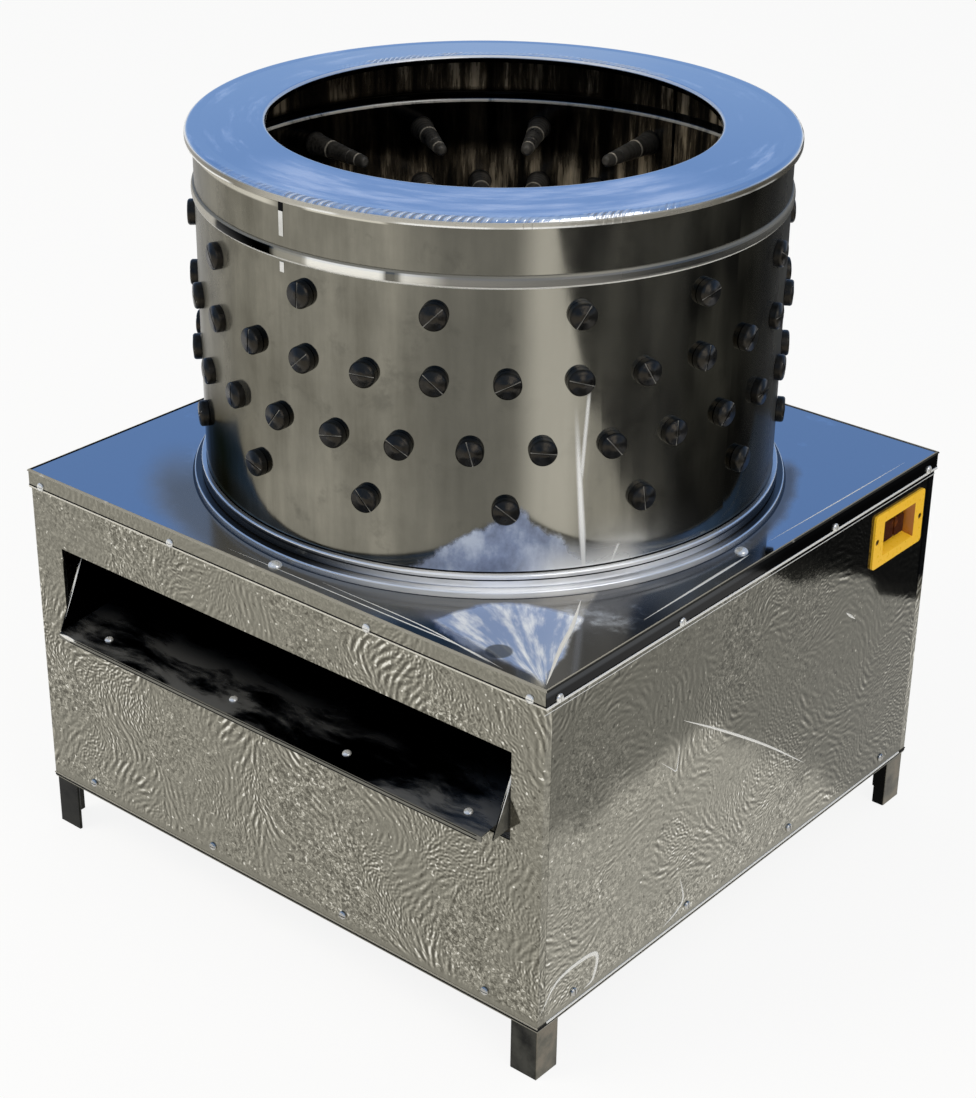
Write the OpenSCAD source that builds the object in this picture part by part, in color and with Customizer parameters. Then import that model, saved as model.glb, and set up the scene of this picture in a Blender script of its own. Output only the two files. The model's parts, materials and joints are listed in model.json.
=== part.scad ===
// Drum poultry plucker: a finger-lined steel drum on a square sheet-steel cabinet.
// The origin is on the floor under the drum axis. +X is the switch side, -Y the feather chute, +Z up.
// Lengths are in millimetres.

/* [Cabinet] */
// Width over the side panels
base_w = 640; // [632:1:680]
// Depth over the front and rear panels
base_d = 620; // [618:1:660]
// Height of the panels' bottom edge above the floor
panel_bottom = 54; // [44:1:64]
// Sheet thickness of the panels
panel_t = 1.2; // [0.8:0.1:2]
// How far the front and rear panels wrap round the corners
corner_wrap = 9; // [6:0.5:14]
// Width of the return folded in along each panel's bottom edge
panel_return = 12; // [8:1:20]
// Leg width of the angle iron
angle_w = 30; // [26:1:31]
// Thickness of the angle iron
angle_t = 3; // [2:0.5:4]

/* [Lid] */
// Height of the lid's top face above the floor
lid_top = 403; // [400:1:420]
// Sheet thickness of the lid
lid_t = 1.5; // [1:0.1:2.5]
// Height of the skirt folded down round the lid
skirt_h = 18.5; // [14:0.5:24]
// Ledge that the lid leaves inside the drum
lid_ledge = 3; // [1:0.5:5]

/* [Fasteners] */
// Head diameter of the sheet-metal screws
screw_head_d = 8.4; // [7:0.1:9]
// Head height of the sheet-metal screws
screw_head_h = 2.5; // [2:0.1:3]
// Shank diameter of the sheet-metal screws
screw_d = 4; // [3:0.1:4.5]
// Height of the skirt screws above the skirt's bottom edge
skirt_screw_up = 5; // [4.5:0.1:8]
// Distance of the corner screws from the cabinet's corners
corner_screw_inset = 15.5; // [12:0.5:18]
// Spacing of the two middle screws on each side of the skirt
skirt_screw_gap = 246; // [200:1:300]
// Height of the bottom screws above the panel's bottom edge
panel_screw_up = 16; // [12:0.5:20]
// Spacing of the four bottom screws on each panel
panel_screw_pitch = 173; // [150:1:180]
// Head diameter of the lid bolts
lid_bolt_head_d = 13; // [11:0.5:14]
// Shank diameter of the lid bolts
lid_bolt_d = 6; // [5:0.5:8]

/* [Drum] */
// Outer diameter of the drum
drum_d = 550; // [530:1:552]
// Wall thickness of the drum
drum_t = 1.5; // [1:0.1:2]
// Height of the drum above the lid, up to the rim's seat
drum_h = 342.5; // [335:0.5:380]
// Distance of the bead's middle below the rim's seat
bead_drop = 55.5; // [40:0.5:58]
// Height of the bead
bead_h = 12; // [8:1:14]
// How far the bead stands out of the wall
bead_out = 3; // [2:0.5:4]
// Width of the ring round the drum's foot
foot_ring_w = 12; // [8:0.5:13]
// Height of the ring's lower step
foot_step_h = 6; // [4:0.5:8]
// Height of the ring's upper band
foot_band_h = 11; // [8:0.5:14]
// Diameter of the rim's mouth
rim_mouth_d = 417; // [390:1:450]
// Rise of the rim from its seat to its mouth
rim_rise = 3; // [1:0.5:6]
// How far the rim's rolled edge overhangs the drum
rim_overhang = 7; // [5:0.5:9]
// Sheet thickness of the rim
rim_t = 1.5; // [1:0.1:2]
// Radius of the rim's rolled edge
rim_roll = 5; // [4:0.5:6]
// Depth of the rim's turned-down hem at its mouth
rim_hem = 7; // [5:0.5:10]

/* [Fingers] */
// Diameter of the finger heads
head_d = 24.5; // [24:0.5:30]
// Height of the finger heads
head_h = 8; // [6:0.5:10]
// Width and depth of the slot across each head
slot_w = 1.4; // [0.8:0.1:2.5]
// Diameter of the holes that the fingers snap into
finger_hole_d = 18; // [15:0.5:20]
// Length of the wall fingers inside the drum
wall_finger_len = 82; // [60:1:90]
// Diameter of a finger at its root
finger_root_d = 22; // [20:0.5:23]
// Diameter of a finger at its tip
finger_tip_d = 12; // [9:0.5:14]
// Fingers in a full row round the wall
row_count = 28; // [20:2:30]
// Angle of the first wall finger
row_phase = -47.4; // [-60:0.1:60]
// Height of the lowest row above the lid
row_low = 80; // [75:1:90]
// Height of the third row above the lid
row_third = 135; // [130:1:140]
// Height of the second row above the lid
row_second = 197; // [190:1:200]
// Height of the top row above the lid
row_top = 256; // [250:1:262]

/* [Turntable] */
// Depth of the disc's top face below the lid's top face
disc_drop = 11; // [9:0.5:16]
// Gap for feathers between the lid's hole and the disc
feather_gap = 20.5; // [14:0.5:28]
// Thickness of the disc
disc_t = 4; // [3:0.5:6]
// Height of the sweep paddles
paddle_h = 34; // [24:1:40]
// Thickness of the sweep paddles
paddle_t = 3; // [2:0.5:5]
// Diameter of the hub's flange
hub_flange_d = 130; // [124:1:136]
// Diameter of the main shaft
shaft_d = 30; // [25:0.5:32]

/* [Chute] */
// Width between the chute's cheeks
chute_w = 550; // [545:1:555]
// How far the chute sits to the right of the middle
chute_shift = 5.3; // [0:0.1:6]
// Sheet thickness of the chute
chute_t = 1.2; // [0.8:0.1:2]
// Height of the floor's front lip above the ground
lip_z = 249.5; // [240:0.5:256]
// How far the lip stands out in front of the front panel
lip_reach = 21; // [16:0.5:30]
// Depth of the lip's folded edge
lip_fold = 6; // [4:0.5:10]
// Slope of the chute floor in degrees
chute_slope = 7; // [5:0.5:9]
// Width of the mouth in the front panel
mouth_w = 567; // [564:1:572]
// How far the mouth sits to the right of the middle
mouth_shift = 1.5; // [0:0.1:2]
// Height of the mouth's top edge above the ground
mouth_top = 329.5; // [310:0.5:340]
// Depth of the mouth's bottom edge below the lip
mouth_drop = 8; // [6:0.5:14]
// Places of the four floor screws across the chute
lip_screw_x = [-219, -47, 97, 240];
// Distance of the floor screws behind the lip
lip_screw_back = 19.5; // [12:0.5:21]

/* [Switch] */
// Width of the bezel
bezel_w = 92; // [88:0.5:96]
// Height of the bezel
bezel_h = 58.5; // [54:0.5:60]
// Thickness of the bezel's plate
bezel_t = 2.5; // [2.5:0.5:5]
// Place of the bezel's middle along the cabinet's depth
switch_y = 245; // [180:1:250]
// Height of the bezel's middle above the ground
switch_z = 342.5; // [320:0.5:350]
// Width of the recess at its mouth
recess_w = 62; // [56:0.5:63]
// Height of the recess at its mouth
recess_h = 41; // [38:0.5:42]
// Depth of the recess from the bezel's face
recess_depth = 11; // [10:0.5:16]
// Inward lean of the recess's sides over its depth
recess_draft = 6; // [4:0.5:8]
// Travel of the buttons
button_travel = 3; // [2:0.5:4]

/* [Drive] */
// Outer diameter of the pulley on the main shaft
drive_pulley_d = 280; // [240:1:290]
// Outer diameter of the motor's pulley
motor_pulley_d = 70; // [64:1:80]
// Width of the pulleys
pulley_w = 22; // [20:0.5:24]
// Top width of the belt
belt_w = 17; // [14:0.5:17]
// Height of the belt's section
belt_h = 11; // [9:0.5:12]
// Place of the motor's axis across the cabinet
motor_x = -150; // [-165:1:-145]
// Place of the motor's axis along the cabinet's depth
motor_y = 178; // [170:1:190]
// Diameter of the motor over its fins
motor_d = 150; // [130:1:155]
// Height of the motor's finned body
motor_h = 130; // [100:1:136]
// Diameter of the motor's shaft
motor_shaft_d = 19; // [14:0.5:24]
// Length of the bearing housing
housing_h = 170; // [140:1:180]
// Outer diameter of the bearings
bearing_d = 62; // [58:1:66]
// Width of the bearings
bearing_w = 16; // [14:0.5:20]

/* [Hidden] */
$fn = 96;

// Clearances
run_gap = 0.05;
seat_gap = 0.3;
hole_gap = 0.2;
air_gap = 1;
through = 1;

// Cabinet levels and faces
half_w = base_w / 2;
half_d = base_d / 2;
in_w = half_w - panel_t;
in_d = half_d - panel_t;
rail_in_w = in_w - angle_w;
rail_in_d = in_d - angle_w;
lid_under = lid_top - lid_t;
skirt_bottom = lid_top - skirt_h;
rail_lift = 3;
rail_low = panel_bottom + rail_lift;
rail_top = rail_low + angle_w;

// Screws
skirt_screw_z = skirt_bottom + skirt_screw_up;
panel_screw_z = panel_bottom + panel_screw_up;
screw_hole_r = screw_d / 2 + hole_gap;
screw_tail = 2;
screw_grip = lid_t + panel_t + angle_t + screw_tail;
lid_bolt_hole_r = lid_bolt_d / 2 + hole_gap;
lid_bolt_head_h = 4;
lid_nut_h = 5;

// Drum
drum_r = drum_d / 2;
drum_in_r = drum_r - drum_t;
drum_top = lid_top + drum_h;
bead_z = drum_top - bead_drop;
lid_hole_r = drum_in_r - lid_ledge;
foot_ring_in_r = drum_r + seat_gap;
foot_ring_r = drum_r + foot_ring_w;
foot_groove = 1.5;
lid_bolt_out = 11;
lid_bolt_r = foot_ring_r + lid_bolt_out;
rim_mouth_r = rim_mouth_d / 2;
rim_top = drum_top + rim_t;
rim_roll_r = drum_r + rim_overhang - rim_roll;

// Fingers
head_r = head_d / 2;
finger_hole_r = finger_hole_d / 2;
neck_r = finger_hole_r - seat_gap;
root_r = finger_root_d / 2;
tip_r = finger_tip_d / 2;
collar_h = 4;
rib_count = 9;
rib_depth = 0.6;
rib_fade = 0.72;
groove_depth = 0.9;
wall_sag = drum_in_r - sqrt(drum_in_r * drum_in_r - head_r * head_r);
wall_neck = drum_t + wall_sag + 2 * seat_gap;
disc_neck = disc_t + 2 * seat_gap;
row_step = 360 / row_count;
slot_turn = 137.5;

// Turntable
disc_top = lid_top - disc_drop;
disc_under = disc_top - disc_t;
disc_r = lid_hole_r - feather_gap;
disc_finger_gap = 10;
disc_finger_len = lid_top + row_low - root_r - disc_finger_gap - disc_top;
ring_margin = 21;
hub_margin = 6;
ring_out = disc_r - head_r - ring_margin;
ring_in = hub_flange_d / 2 + head_r + hub_margin;
ring_radii = [ring_out, (ring_out + ring_in) / 2, ring_in];
ring_counts = [18, 12, 6];
paddle_count = 3;
paddle_gap = 5;
paddle_in = hub_flange_d / 2 + paddle_gap;
paddle_out = disc_r - paddle_gap;
paddle_flange = 20;
paddle_bolt_inset = 20;
paddle_bolts = [paddle_in + paddle_bolt_inset, paddle_out - paddle_bolt_inset];
hub_flange_h = 8;
hub_boss_h = 35;
hub_boss_wall = 19;
hub_boss_r = shaft_d / 2 + hub_boss_wall;
hub_bottom = disc_under - hub_flange_h - hub_boss_h;
hub_bolt_count = 6;
hub_bolt_circle = (hub_boss_r + hub_flange_d / 2) / 2;
disc_bolt_r = 4;
disc_bolt_head_r = 6.5;
disc_bolt_head_h = 4;
disc_nut_r = 7;
disc_nut_h = 6;
stud_step = 5;
stud_r = shaft_d / 2 - stud_step;
stud_h = 14;
cap_r = 24;
cap_h = 20;

// Chute
chute_half = chute_w / 2;
lip_y = half_d + lip_reach;
mouth_bottom = lip_z - mouth_drop;
back_gap = 1.6;
back_y = rail_in_d - chute_t - back_gap;
floor_rise = tan(chute_slope);
floor_drop = chute_t / cos(chute_slope);
cheek_foot = 3;
cheek_shoulder = 38;
bracket_t = 1.2;
bracket_leg = 20;
bracket_inset = 4;
lip_notch_w = 10;
lip_notch_d = 24;
collar_room = 9;
collar_wall = 3;
collar_bore_r = shaft_d / 2 + collar_room;
collar_r = collar_bore_r + collar_wall;
collar_up = 25;
collar_down = 8;

// Bearing housing and shaft
beam_w = 30;
beam_t = 2.5;
housing_wall = 11;
housing_r = bearing_d / 2 + housing_wall;
beam_gap = 6;
beam_y = housing_r + beam_w / 2 + beam_gap;
beam_top = rail_top + beam_w;
plate_t = 8;
housing_seat = beam_top + plate_t;
housing_flange_h = 12;
housing_flange_w = 22;
housing_flange_r = housing_r + housing_flange_w;
housing_lift = 5;
housing_bottom = rail_top + housing_lift;
housing_top = housing_bottom + housing_h;
housing_bolt_circle = housing_r + housing_flange_w / 2;
housing_bolt_r = 5;
housing_bolt_head_r = 8;
housing_bolt_head_h = 6;
pocket_spare = 2;
pocket_h = bearing_w + pocket_spare;
bearing_lip = 4;
shaft_r = shaft_d / 2;
shoulder_step = 4;
shoulder_r = shaft_r + shoulder_step;
shoulder_z = housing_top - pocket_h + bearing_w + seat_gap;

// Belt drive
pulley_drop = 7;
pulley_top = rail_top - pulley_drop;
pulley_bottom = pulley_top - pulley_w;
belt_z = (pulley_top + pulley_bottom) / 2;
drive_r = drive_pulley_d / 2;
small_r = motor_pulley_d / 2;
belt_taper = 3.5;
belt_gap = 0.4;
groove_floor = 2;
belt_span = sqrt(motor_x * motor_x + motor_y * motor_y);
belt_dir = atan2(motor_y, motor_x);
belt_contact = acos((drive_r - small_r) / belt_span);
belt_steps = 48;
pulley_hub_wall = 15;
pulley_hub_r = shaft_r + pulley_hub_wall;
pulley_web_h = 8;
pulley_rim_t = 12;
pulley_hole_count = 5;
pulley_bolt_r = 9;
pulley_bolt_h = 7;
washer_t = 3;

// Motor
motor_r = motor_d / 2;
motor_shaft_r = motor_shaft_d / 2;
motor_core_r = 45;
fin_depth = 7;
motor_shell_r = motor_r - fin_depth;
motor_end_h = 7;
fin_count = 24;
fin_t = 3;
motor_plate_top = rail_top + plate_t;
motor_flange_h = 10;
motor_flange_w = 12;
motor_flange_r = motor_r + motor_flange_w;
motor_bottom = motor_plate_top + motor_flange_h;
motor_top = motor_bottom + motor_h;
motor_bolt_inset = 9;
motor_bolt_circle = motor_flange_r - motor_bolt_inset;
motor_bolt_r = 4;
motor_bolt_head_r = 6.5;
motor_bolt_head_h = 5;
slot_reach = 6;
fan_cover_h = 50;
fan_cover_t = 2;
fan_room = 18;
fan_r = motor_r - fan_room;
fan_h = 18;
fan_lift = 10;
pad_reach = 5;
box_depth = 45;
box_w = 80;
box_h = 60;
box_lift = 20;
box_bottom = motor_bottom + box_lift;
box_face_x = motor_x - motor_r - pad_reach;

// Switch and lead
recess_floor_x = half_w + bezel_t - recess_depth;
bezel_corner = 4;
recess_wall = 2;
funnel_w = recess_w - 2 * recess_draft;
funnel_h = recess_h - 2 * recess_draft;
switch_box_w = 66;
switch_box_h = 50;
switch_box_depth = 22;
bezel_screw_inset = 6;
bezel_screw_y = bezel_w / 2 - bezel_screw_inset;
bezel_screw_r = 1.5;
bezel_screw_head_r = 3;
bezel_screw_head_h = 1.3;
button_w = 17;
button_h = 20;
button_proud = 5;
button_embed = 8;
button_gap = 3;
button_y = (button_w + button_gap) / 2;
lead_r = 4;
lead_bend = 16;
lead_x = recess_floor_x - switch_box_depth / 2;
lead_inset = 8;
lead_y = switch_y + switch_box_w / 2 - lead_inset;
lead_z = box_bottom + box_h / 2;
lead_end_x = box_face_x - box_depth / 2;
lead_end_y = motor_y + box_w / 2;
gland_x = 200;
gland_up = 66;
gland_z = panel_bottom + gland_up;
gland_bore_r = 5;
gland_stem_r = 8;
gland_hex_r = 14;
gland_hex_h = 8;
gland_cap_r = 11;
gland_nut_h = 6;
gland_tail = 9;

// Colours
bright_steel = [0.66, 0.65, 0.61];
dark_steel = [0.34, 0.34, 0.32];
black_rubber = [0.07, 0.07, 0.08];
switch_yellow = [0.96, 0.77, 0.12];
motor_grey = [0.36, 0.42, 0.46];

// Points along an arc, both ends included
function arc(cx, cy, r, a0, a1, n) =
    [for (i = [0 : n]) let (a = a0 + (a1 - a0) * i / n) [cx + r * cos(a), cy + r * sin(a)]];

// Height of the chute floor's top face at a place along the cabinet's depth
function floor_z(y) = lip_z + (y + lip_y) * floor_rise;

// Height of a row of wall fingers, counted down from the top
function row_z(row) = lid_top + [row_top, row_second, row_third, row_low][row - 1];

// Extrudes a side profile drawn as [y, z] across the cabinet, centred on the drum axis
module across(width) rotate([90, 0, 90]) linear_extrude(width, center = true) children();

module ring(r_out, r_in, h) {
    difference() {
        cylinder(r = r_out, h = h);
        translate([0, 0, -through]) cylinder(r = r_in, h = h + 2 * through);
    }
}

module polar(count, radius, phase = 0) {
    for (i = [0 : count - 1]) {
        rotate([0, 0, phase + i * 360 / count]) translate([radius, 0, 0]) children();
    }
}

// Places children at one cabinet corner, drawn as at the rear right one
module at_corner(left, front) {
    mirror([left ? 1 : 0, 0, 0]) mirror([0, front ? 1 : 0, 0]) children();
}

// Stands children on the four side faces: local +Z points out, local +X runs along the side
module on_front(x, z, out) translate([x, -out, z]) rotate([90, 0, 0]) children();
module on_rear(x, z, out) translate([x, out, z]) rotate([-90, 0, 0]) children();
module on_right(y, z, out) translate([out, y, z]) rotate([0, 90, 0]) children();
module on_left(y, z, out) translate([-out, y, z]) rotate([0, -90, 0]) children();

module on_skirt(out_w, out_d) {
    for (side = [-1, 1], place = [half_w - corner_screw_inset, skirt_screw_gap / 2]) {
        on_front(side * place, skirt_screw_z, out_d) children();
        on_rear(side * place, skirt_screw_z, out_d) children();
    }
    for (side = [-1, 1], place = [half_d - corner_screw_inset, skirt_screw_gap / 2]) {
        on_right(side * place, skirt_screw_z, out_w) children();
        on_left(side * place, skirt_screw_z, out_w) children();
    }
}

module on_panel_feet() {
    for (k = [-1.5 : 1 : 1.5]) {
        on_front(k * panel_screw_pitch, panel_screw_z, half_d) children();
        on_rear(k * panel_screw_pitch, panel_screw_z, half_d) children();
        on_right(k * panel_screw_pitch, panel_screw_z, half_w) children();
        on_left(k * panel_screw_pitch, panel_screw_z, half_w) children();
    }
}

module on_lid_bolts() {
    for (a = [0 : 90 : 270]) {
        rotate([0, 0, a]) translate([lid_bolt_r, 0, lid_top]) children();
    }
}

module on_bezel_screws() {
    for (side = [-1, 1]) {
        on_right(switch_y + side * bezel_screw_y, switch_z, half_w + bezel_t - bezel_screw_head_h) children();
    }
}

// A slotted pan-head screw, its seat at the local origin
module pan_screw(grip, head_r = screw_head_d / 2, head_h = screw_head_h, shank_r = screw_d / 2) {
    difference() {
        rotate_extrude() {
            polygon([[0, -grip], [shank_r, -grip], [shank_r, 0], [head_r, 0], [head_r, head_h * 0.35],
                [head_r * 0.82, head_h * 0.75], [head_r * 0.5, head_h * 0.96], [0, head_h]]);
        }
        translate([-head_r, -head_r * 0.12, head_h * 0.55]) cube([2 * head_r, head_r * 0.24, head_h]);
    }
}

module screw_holes() {
    hole_depth = screw_grip + 2 * through;
    on_skirt(half_w + lid_t, half_d + lid_t) {
        translate([0, 0, -hole_depth]) cylinder(r = screw_hole_r, h = hole_depth + through);
    }
    on_panel_feet() {
        translate([0, 0, -hole_depth]) cylinder(r = screw_hole_r, h = hole_depth + through);
    }
}

module bezel_screw_holes() {
    on_bezel_screws() {
        cylinder(r = bezel_screw_head_r + hole_gap, h = bezel_t);
        translate([0, 0, -2 * bezel_t - screw_grip]) {
            cylinder(r = bezel_screw_r + hole_gap, h = 2 * bezel_t + screw_grip + through);
        }
    }
}

// Frame

module leg(left, front) {
    color(dark_steel) difference() {
        at_corner(left, front) {
            translate([in_w - angle_w, in_d - angle_t, 0]) cube([angle_w, angle_t, lid_under]);
            translate([in_w - angle_t, in_d - angle_w, 0]) cube([angle_t, angle_w, lid_under]);
        }
        screw_holes();
        bezel_screw_holes();
    }
}

module leg_front_left() leg(true, true);
module leg_front_right() leg(false, true);
module leg_rear_left() leg(true, false);
module leg_rear_right() leg(false, false);

// One angle-iron rail along +X behind a panel at y = out, its flat flange level with the top
module rail(length, out, z_low) {
    translate([-length / 2, out - angle_t, z_low]) cube([length, angle_t, angle_w]);
    translate([-length / 2, out - angle_w, z_low + angle_w - angle_t]) {
        cube([length, angle_w, angle_t]);
    }
}

module rail_square(z_low) {
    for (turn = [0, 180]) {
        rotate([0, 0, turn]) rail(2 * rail_in_w, in_d, z_low);
        rotate([0, 0, turn + 90]) rail(2 * rail_in_d, in_w, z_low);
    }
}

module top_rails() {
    color(dark_steel) difference() {
        rail_square(lid_under - angle_w);
        screw_holes();
        on_lid_bolts() translate([0, 0, -angle_w]) cylinder(r = lid_bolt_hole_r, h = angle_w);
    }
}

module lower_rails() {
    color(dark_steel) difference() {
        rail_square(rail_low);
        screw_holes();
    }
}

// Panels

module end_panel() {
    height = lid_under - panel_bottom;
    translate([-half_w, in_d, panel_bottom]) cube([base_w, panel_t, height]);
    for (x = [-half_w, in_w]) {
        translate([x, half_d - corner_wrap, panel_bottom]) cube([panel_t, corner_wrap, height]);
    }
    translate([-rail_in_w + through, in_d - panel_return, panel_bottom]) {
        cube([2 * (rail_in_w - through), panel_return + through / 2, panel_t]);
    }
}

module side_panel() {
    height = lid_under - panel_bottom;
    depth = 2 * (half_d - corner_wrap - seat_gap);
    translate([in_w, -depth / 2, panel_bottom]) cube([panel_t, depth, height]);
    translate([in_w - panel_return, -rail_in_d + through, panel_bottom]) {
        cube([panel_return + through / 2, 2 * (rail_in_d - through), panel_t]);
    }
}

module front_panel() {
    color(bright_steel) difference() {
        mirror([0, 1, 0]) end_panel();
        translate([mouth_shift - mouth_w / 2, -half_d - through, mouth_bottom]) {
            cube([mouth_w, panel_t + 2 * through, mouth_top - mouth_bottom]);
        }
        screw_holes();
    }
}

module rear_panel() {
    color(bright_steel) difference() {
        end_panel();
        screw_holes();
        on_rear(gland_x, gland_z, in_d - through) {
            cylinder(r = gland_stem_r + hole_gap, h = panel_t + 2 * through);
        }
    }
}

module left_panel() {
    color(bright_steel) difference() {
        mirror([1, 0, 0]) side_panel();
        screw_holes();
    }
}

module right_panel() {
    color(bright_steel) difference() {
        side_panel();
        screw_holes();
        bezel_screw_holes();
        translate([in_w - through, switch_y - recess_w / 2, switch_z - recess_h / 2]) {
            cube([panel_t + 2 * through, recess_w, recess_h]);
        }
    }
}

// Lid

module lid() {
    out_w = half_w + lid_t;
    out_d = half_d + lid_t;
    color(bright_steel) difference() {
        translate([-out_w, -out_d, skirt_bottom]) cube([2 * out_w, 2 * out_d, skirt_h]);
        translate([-half_w, -half_d, skirt_bottom - through]) {
            cube([base_w, base_d, skirt_h - lid_t + through]);
        }
        cylinder(r = lid_hole_r, h = lid_top + through);
        screw_holes();
        on_lid_bolts() translate([0, 0, -lid_t - through]) {
            cylinder(r = lid_bolt_hole_r, h = lid_t + 2 * through);
        }
    }
}

module skirt_screws() {
    color(bright_steel) on_skirt(half_w + lid_t, half_d + lid_t) pan_screw(screw_grip);
}

module panel_screws() {
    color(bright_steel) on_panel_feet() pan_screw(panel_t + angle_t + screw_tail);
}

module lid_bolts() {
    grip = lid_t + angle_t;
    color(bright_steel) on_lid_bolts() {
        rotate_extrude() {
            polygon(concat([[0, -grip - lid_nut_h - 1], [lid_bolt_d / 2, -grip - lid_nut_h - 1],
                [lid_bolt_d / 2, 0], [lid_bolt_head_d / 2, 0]],
                [for (a = [15 : 15 : 90]) [lid_bolt_head_d / 2 * cos(a), lid_bolt_head_h * sin(a)]]));
        }
        translate([0, 0, -grip - lid_nut_h]) cylinder(r = lid_bolt_d, h = lid_nut_h, $fn = 6);
    }
}

// Drum

// Half-round swage in a wall at radius r, its middle at bead_z, drawn from the bottom up
function bead_line(r) =
    [for (i = [0 : 8]) let (a = -90 + i * 22.5) [r + bead_out * cos(a), bead_z + bead_h / 2 * sin(a)]];

module on_wall(row, every, shift) {
    for (k = [0 : row_count / every - 1]) {
        rotate([0, 0, row_phase + (k * every + shift) * row_step]) {
            translate([drum_r + seat_gap, 0, row_z(row)]) rotate([0, 90, 0]) {
                rotate([0, 0, (k + 5 * row) * slot_turn]) children();
            }
        }
    }
}

module on_row_1() on_wall(1, 2, 1) children();
module on_row_2() on_wall(2, 1, 0) children();
module on_row_3() on_wall(3, 1, 0.5) children();
module on_row_4() on_wall(4, 2, 0) children();

module wall_hole() translate([0, 0, -wall_neck - through]) {
    cylinder(r = finger_hole_r, h = wall_neck + 2 * through);
}

module drum_shell() {
    color(bright_steel) difference() {
        rotate_extrude() {
            polygon(concat([[drum_r, lid_top]], bead_line(drum_r), [[drum_r, drum_top]],
                [[drum_in_r, drum_top]], [for (i = [8 : -1 : 0]) bead_line(drum_in_r)[i]],
                [[drum_in_r, lid_top]]));
        }
        on_row_1() wall_hole();
        on_row_2() wall_hole();
        on_row_3() wall_hole();
        on_row_4() wall_hole();
    }
}

module foot_ring() {
    step_top = lid_top + foot_step_h;
    band_low = step_top + foot_groove;
    band_r = drum_r + foot_ring_w * 0.4;
    core_r = drum_r + foot_ring_w * 0.2;
    soft = 1.5;
    color(bright_steel) rotate_extrude() {
        polygon(concat([[foot_ring_in_r, lid_top], [foot_ring_r, lid_top]],
            arc(foot_ring_r - soft, step_top - soft, soft, 0, 90, 4),
            [[core_r, step_top], [core_r, band_low], [band_r, band_low]],
            arc(band_r - soft, band_low + foot_band_h - soft, soft, 0, 90, 4),
            [[foot_ring_in_r, band_low + foot_band_h]]));
    }
}

module rim_ring() {
    roll_in = rim_roll - rim_t;
    roll_z = rim_top - rim_roll;
    roll_foot = roll_z - 4;
    bend = rim_t + 2;
    mouth_z = rim_top + rim_rise;
    seat_r = drum_in_r - 5;
    color(bright_steel) rotate_extrude() {
        polygon(concat(
            [[rim_mouth_r, mouth_z - rim_hem]],
            arc(rim_mouth_r + bend, mouth_z - bend, bend, 180, 90, 6),
            [[seat_r, rim_top]],
            arc(rim_roll_r, roll_z, rim_roll, 90, 0, 6),
            [[rim_roll_r + rim_roll, roll_foot], [rim_roll_r + roll_in, roll_foot]],
            arc(rim_roll_r, roll_z, roll_in, 0, 90, 6),
            [[seat_r, rim_top - rim_t]],
            arc(rim_mouth_r + bend, mouth_z - bend, bend - rim_t, 90, 180, 6),
            [[rim_mouth_r + rim_t, mouth_z - rim_hem]]));
    }
}

// Rubber fingers

// Outline of a finger: slotted head above z = 0, neck through the wall, ribbed shaft below it
function finger_line(neck, len) = let (
    root_z = -neck - collar_h,
    rib_span = len * rib_fade - collar_h,
    shaft_r = function (t) root_r + (tip_r - root_r) * t,
    groove_z = -neck - len * rib_fade,
    tip_z = -neck - len)
    concat(
        [[0, tip_z]], arc(tip_r - 3, tip_z + 3, 3, -90, 0, 4),
        [[shaft_r(rib_fade + 0.04), groove_z - 3], [shaft_r(rib_fade) - groove_depth, groove_z - 2],
            [shaft_r(rib_fade) - groove_depth, groove_z]],
        [for (i = [rib_count : -1 : 1], side = [0, 1])
            let (f = (i - side * 0.5) / rib_count)
            [shaft_r(f * rib_fade) - side * rib_depth, root_z - f * rib_span]],
        [[root_r, root_z], [head_r, -neck - collar_h * 0.6], [head_r, -neck], [neck_r, -neck], [neck_r, 0]],
        [[head_r, 0]], arc(head_r - 2.5, head_h - 3.2, 2.5, 0, 75, 4), [[0, head_h]]);

module finger(neck, len) {
    difference() {
        rotate_extrude() polygon(finger_line(neck, len));
        translate([-head_d, -slot_w / 2, head_h - slot_w]) cube([2 * head_d, slot_w, 2 * slot_w]);
    }
}

module wall_fingers_row_1() color(black_rubber) on_row_1() finger(wall_neck, wall_finger_len);
module wall_fingers_row_2() color(black_rubber) on_row_2() finger(wall_neck, wall_finger_len);
module wall_fingers_row_3() color(black_rubber) on_row_3() finger(wall_neck, wall_finger_len);
module wall_fingers_row_4() color(black_rubber) on_row_4() finger(wall_neck, wall_finger_len);

// Chute

module on_lip_screws() {
    y = -lip_y + lip_screw_back;
    for (x = lip_screw_x) translate([x, y, floor_z(y)]) rotate([chute_slope, 0, 0]) children();
}

module lip_screw_holes() on_lip_screws() translate([0, 0, -10]) cylinder(r = screw_hole_r, h = 12);

module chute_floor() {
    nose = -lip_y + chute_t;
    color(bright_steel) difference() {
        translate([chute_shift, 0, 0]) across(chute_w) {
            polygon([[-lip_y, lip_z], [back_y, floor_z(back_y)],
                [back_y, floor_z(back_y) - floor_drop], [nose, floor_z(nose) - floor_drop],
                [nose, lip_z - lip_fold], [-lip_y, lip_z - lip_fold]]);
        }
        translate([chute_shift + chute_half - lip_notch_w, -lip_y - through, lip_z - lip_fold - through]) {
            cube([lip_notch_w + through, lip_notch_d + through, 3 * lip_fold]);
        }
        lip_screw_holes();
        translate([0, 0, floor_z(0) - 20]) cylinder(r = collar_r + seat_gap, h = 40);
    }
}

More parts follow.
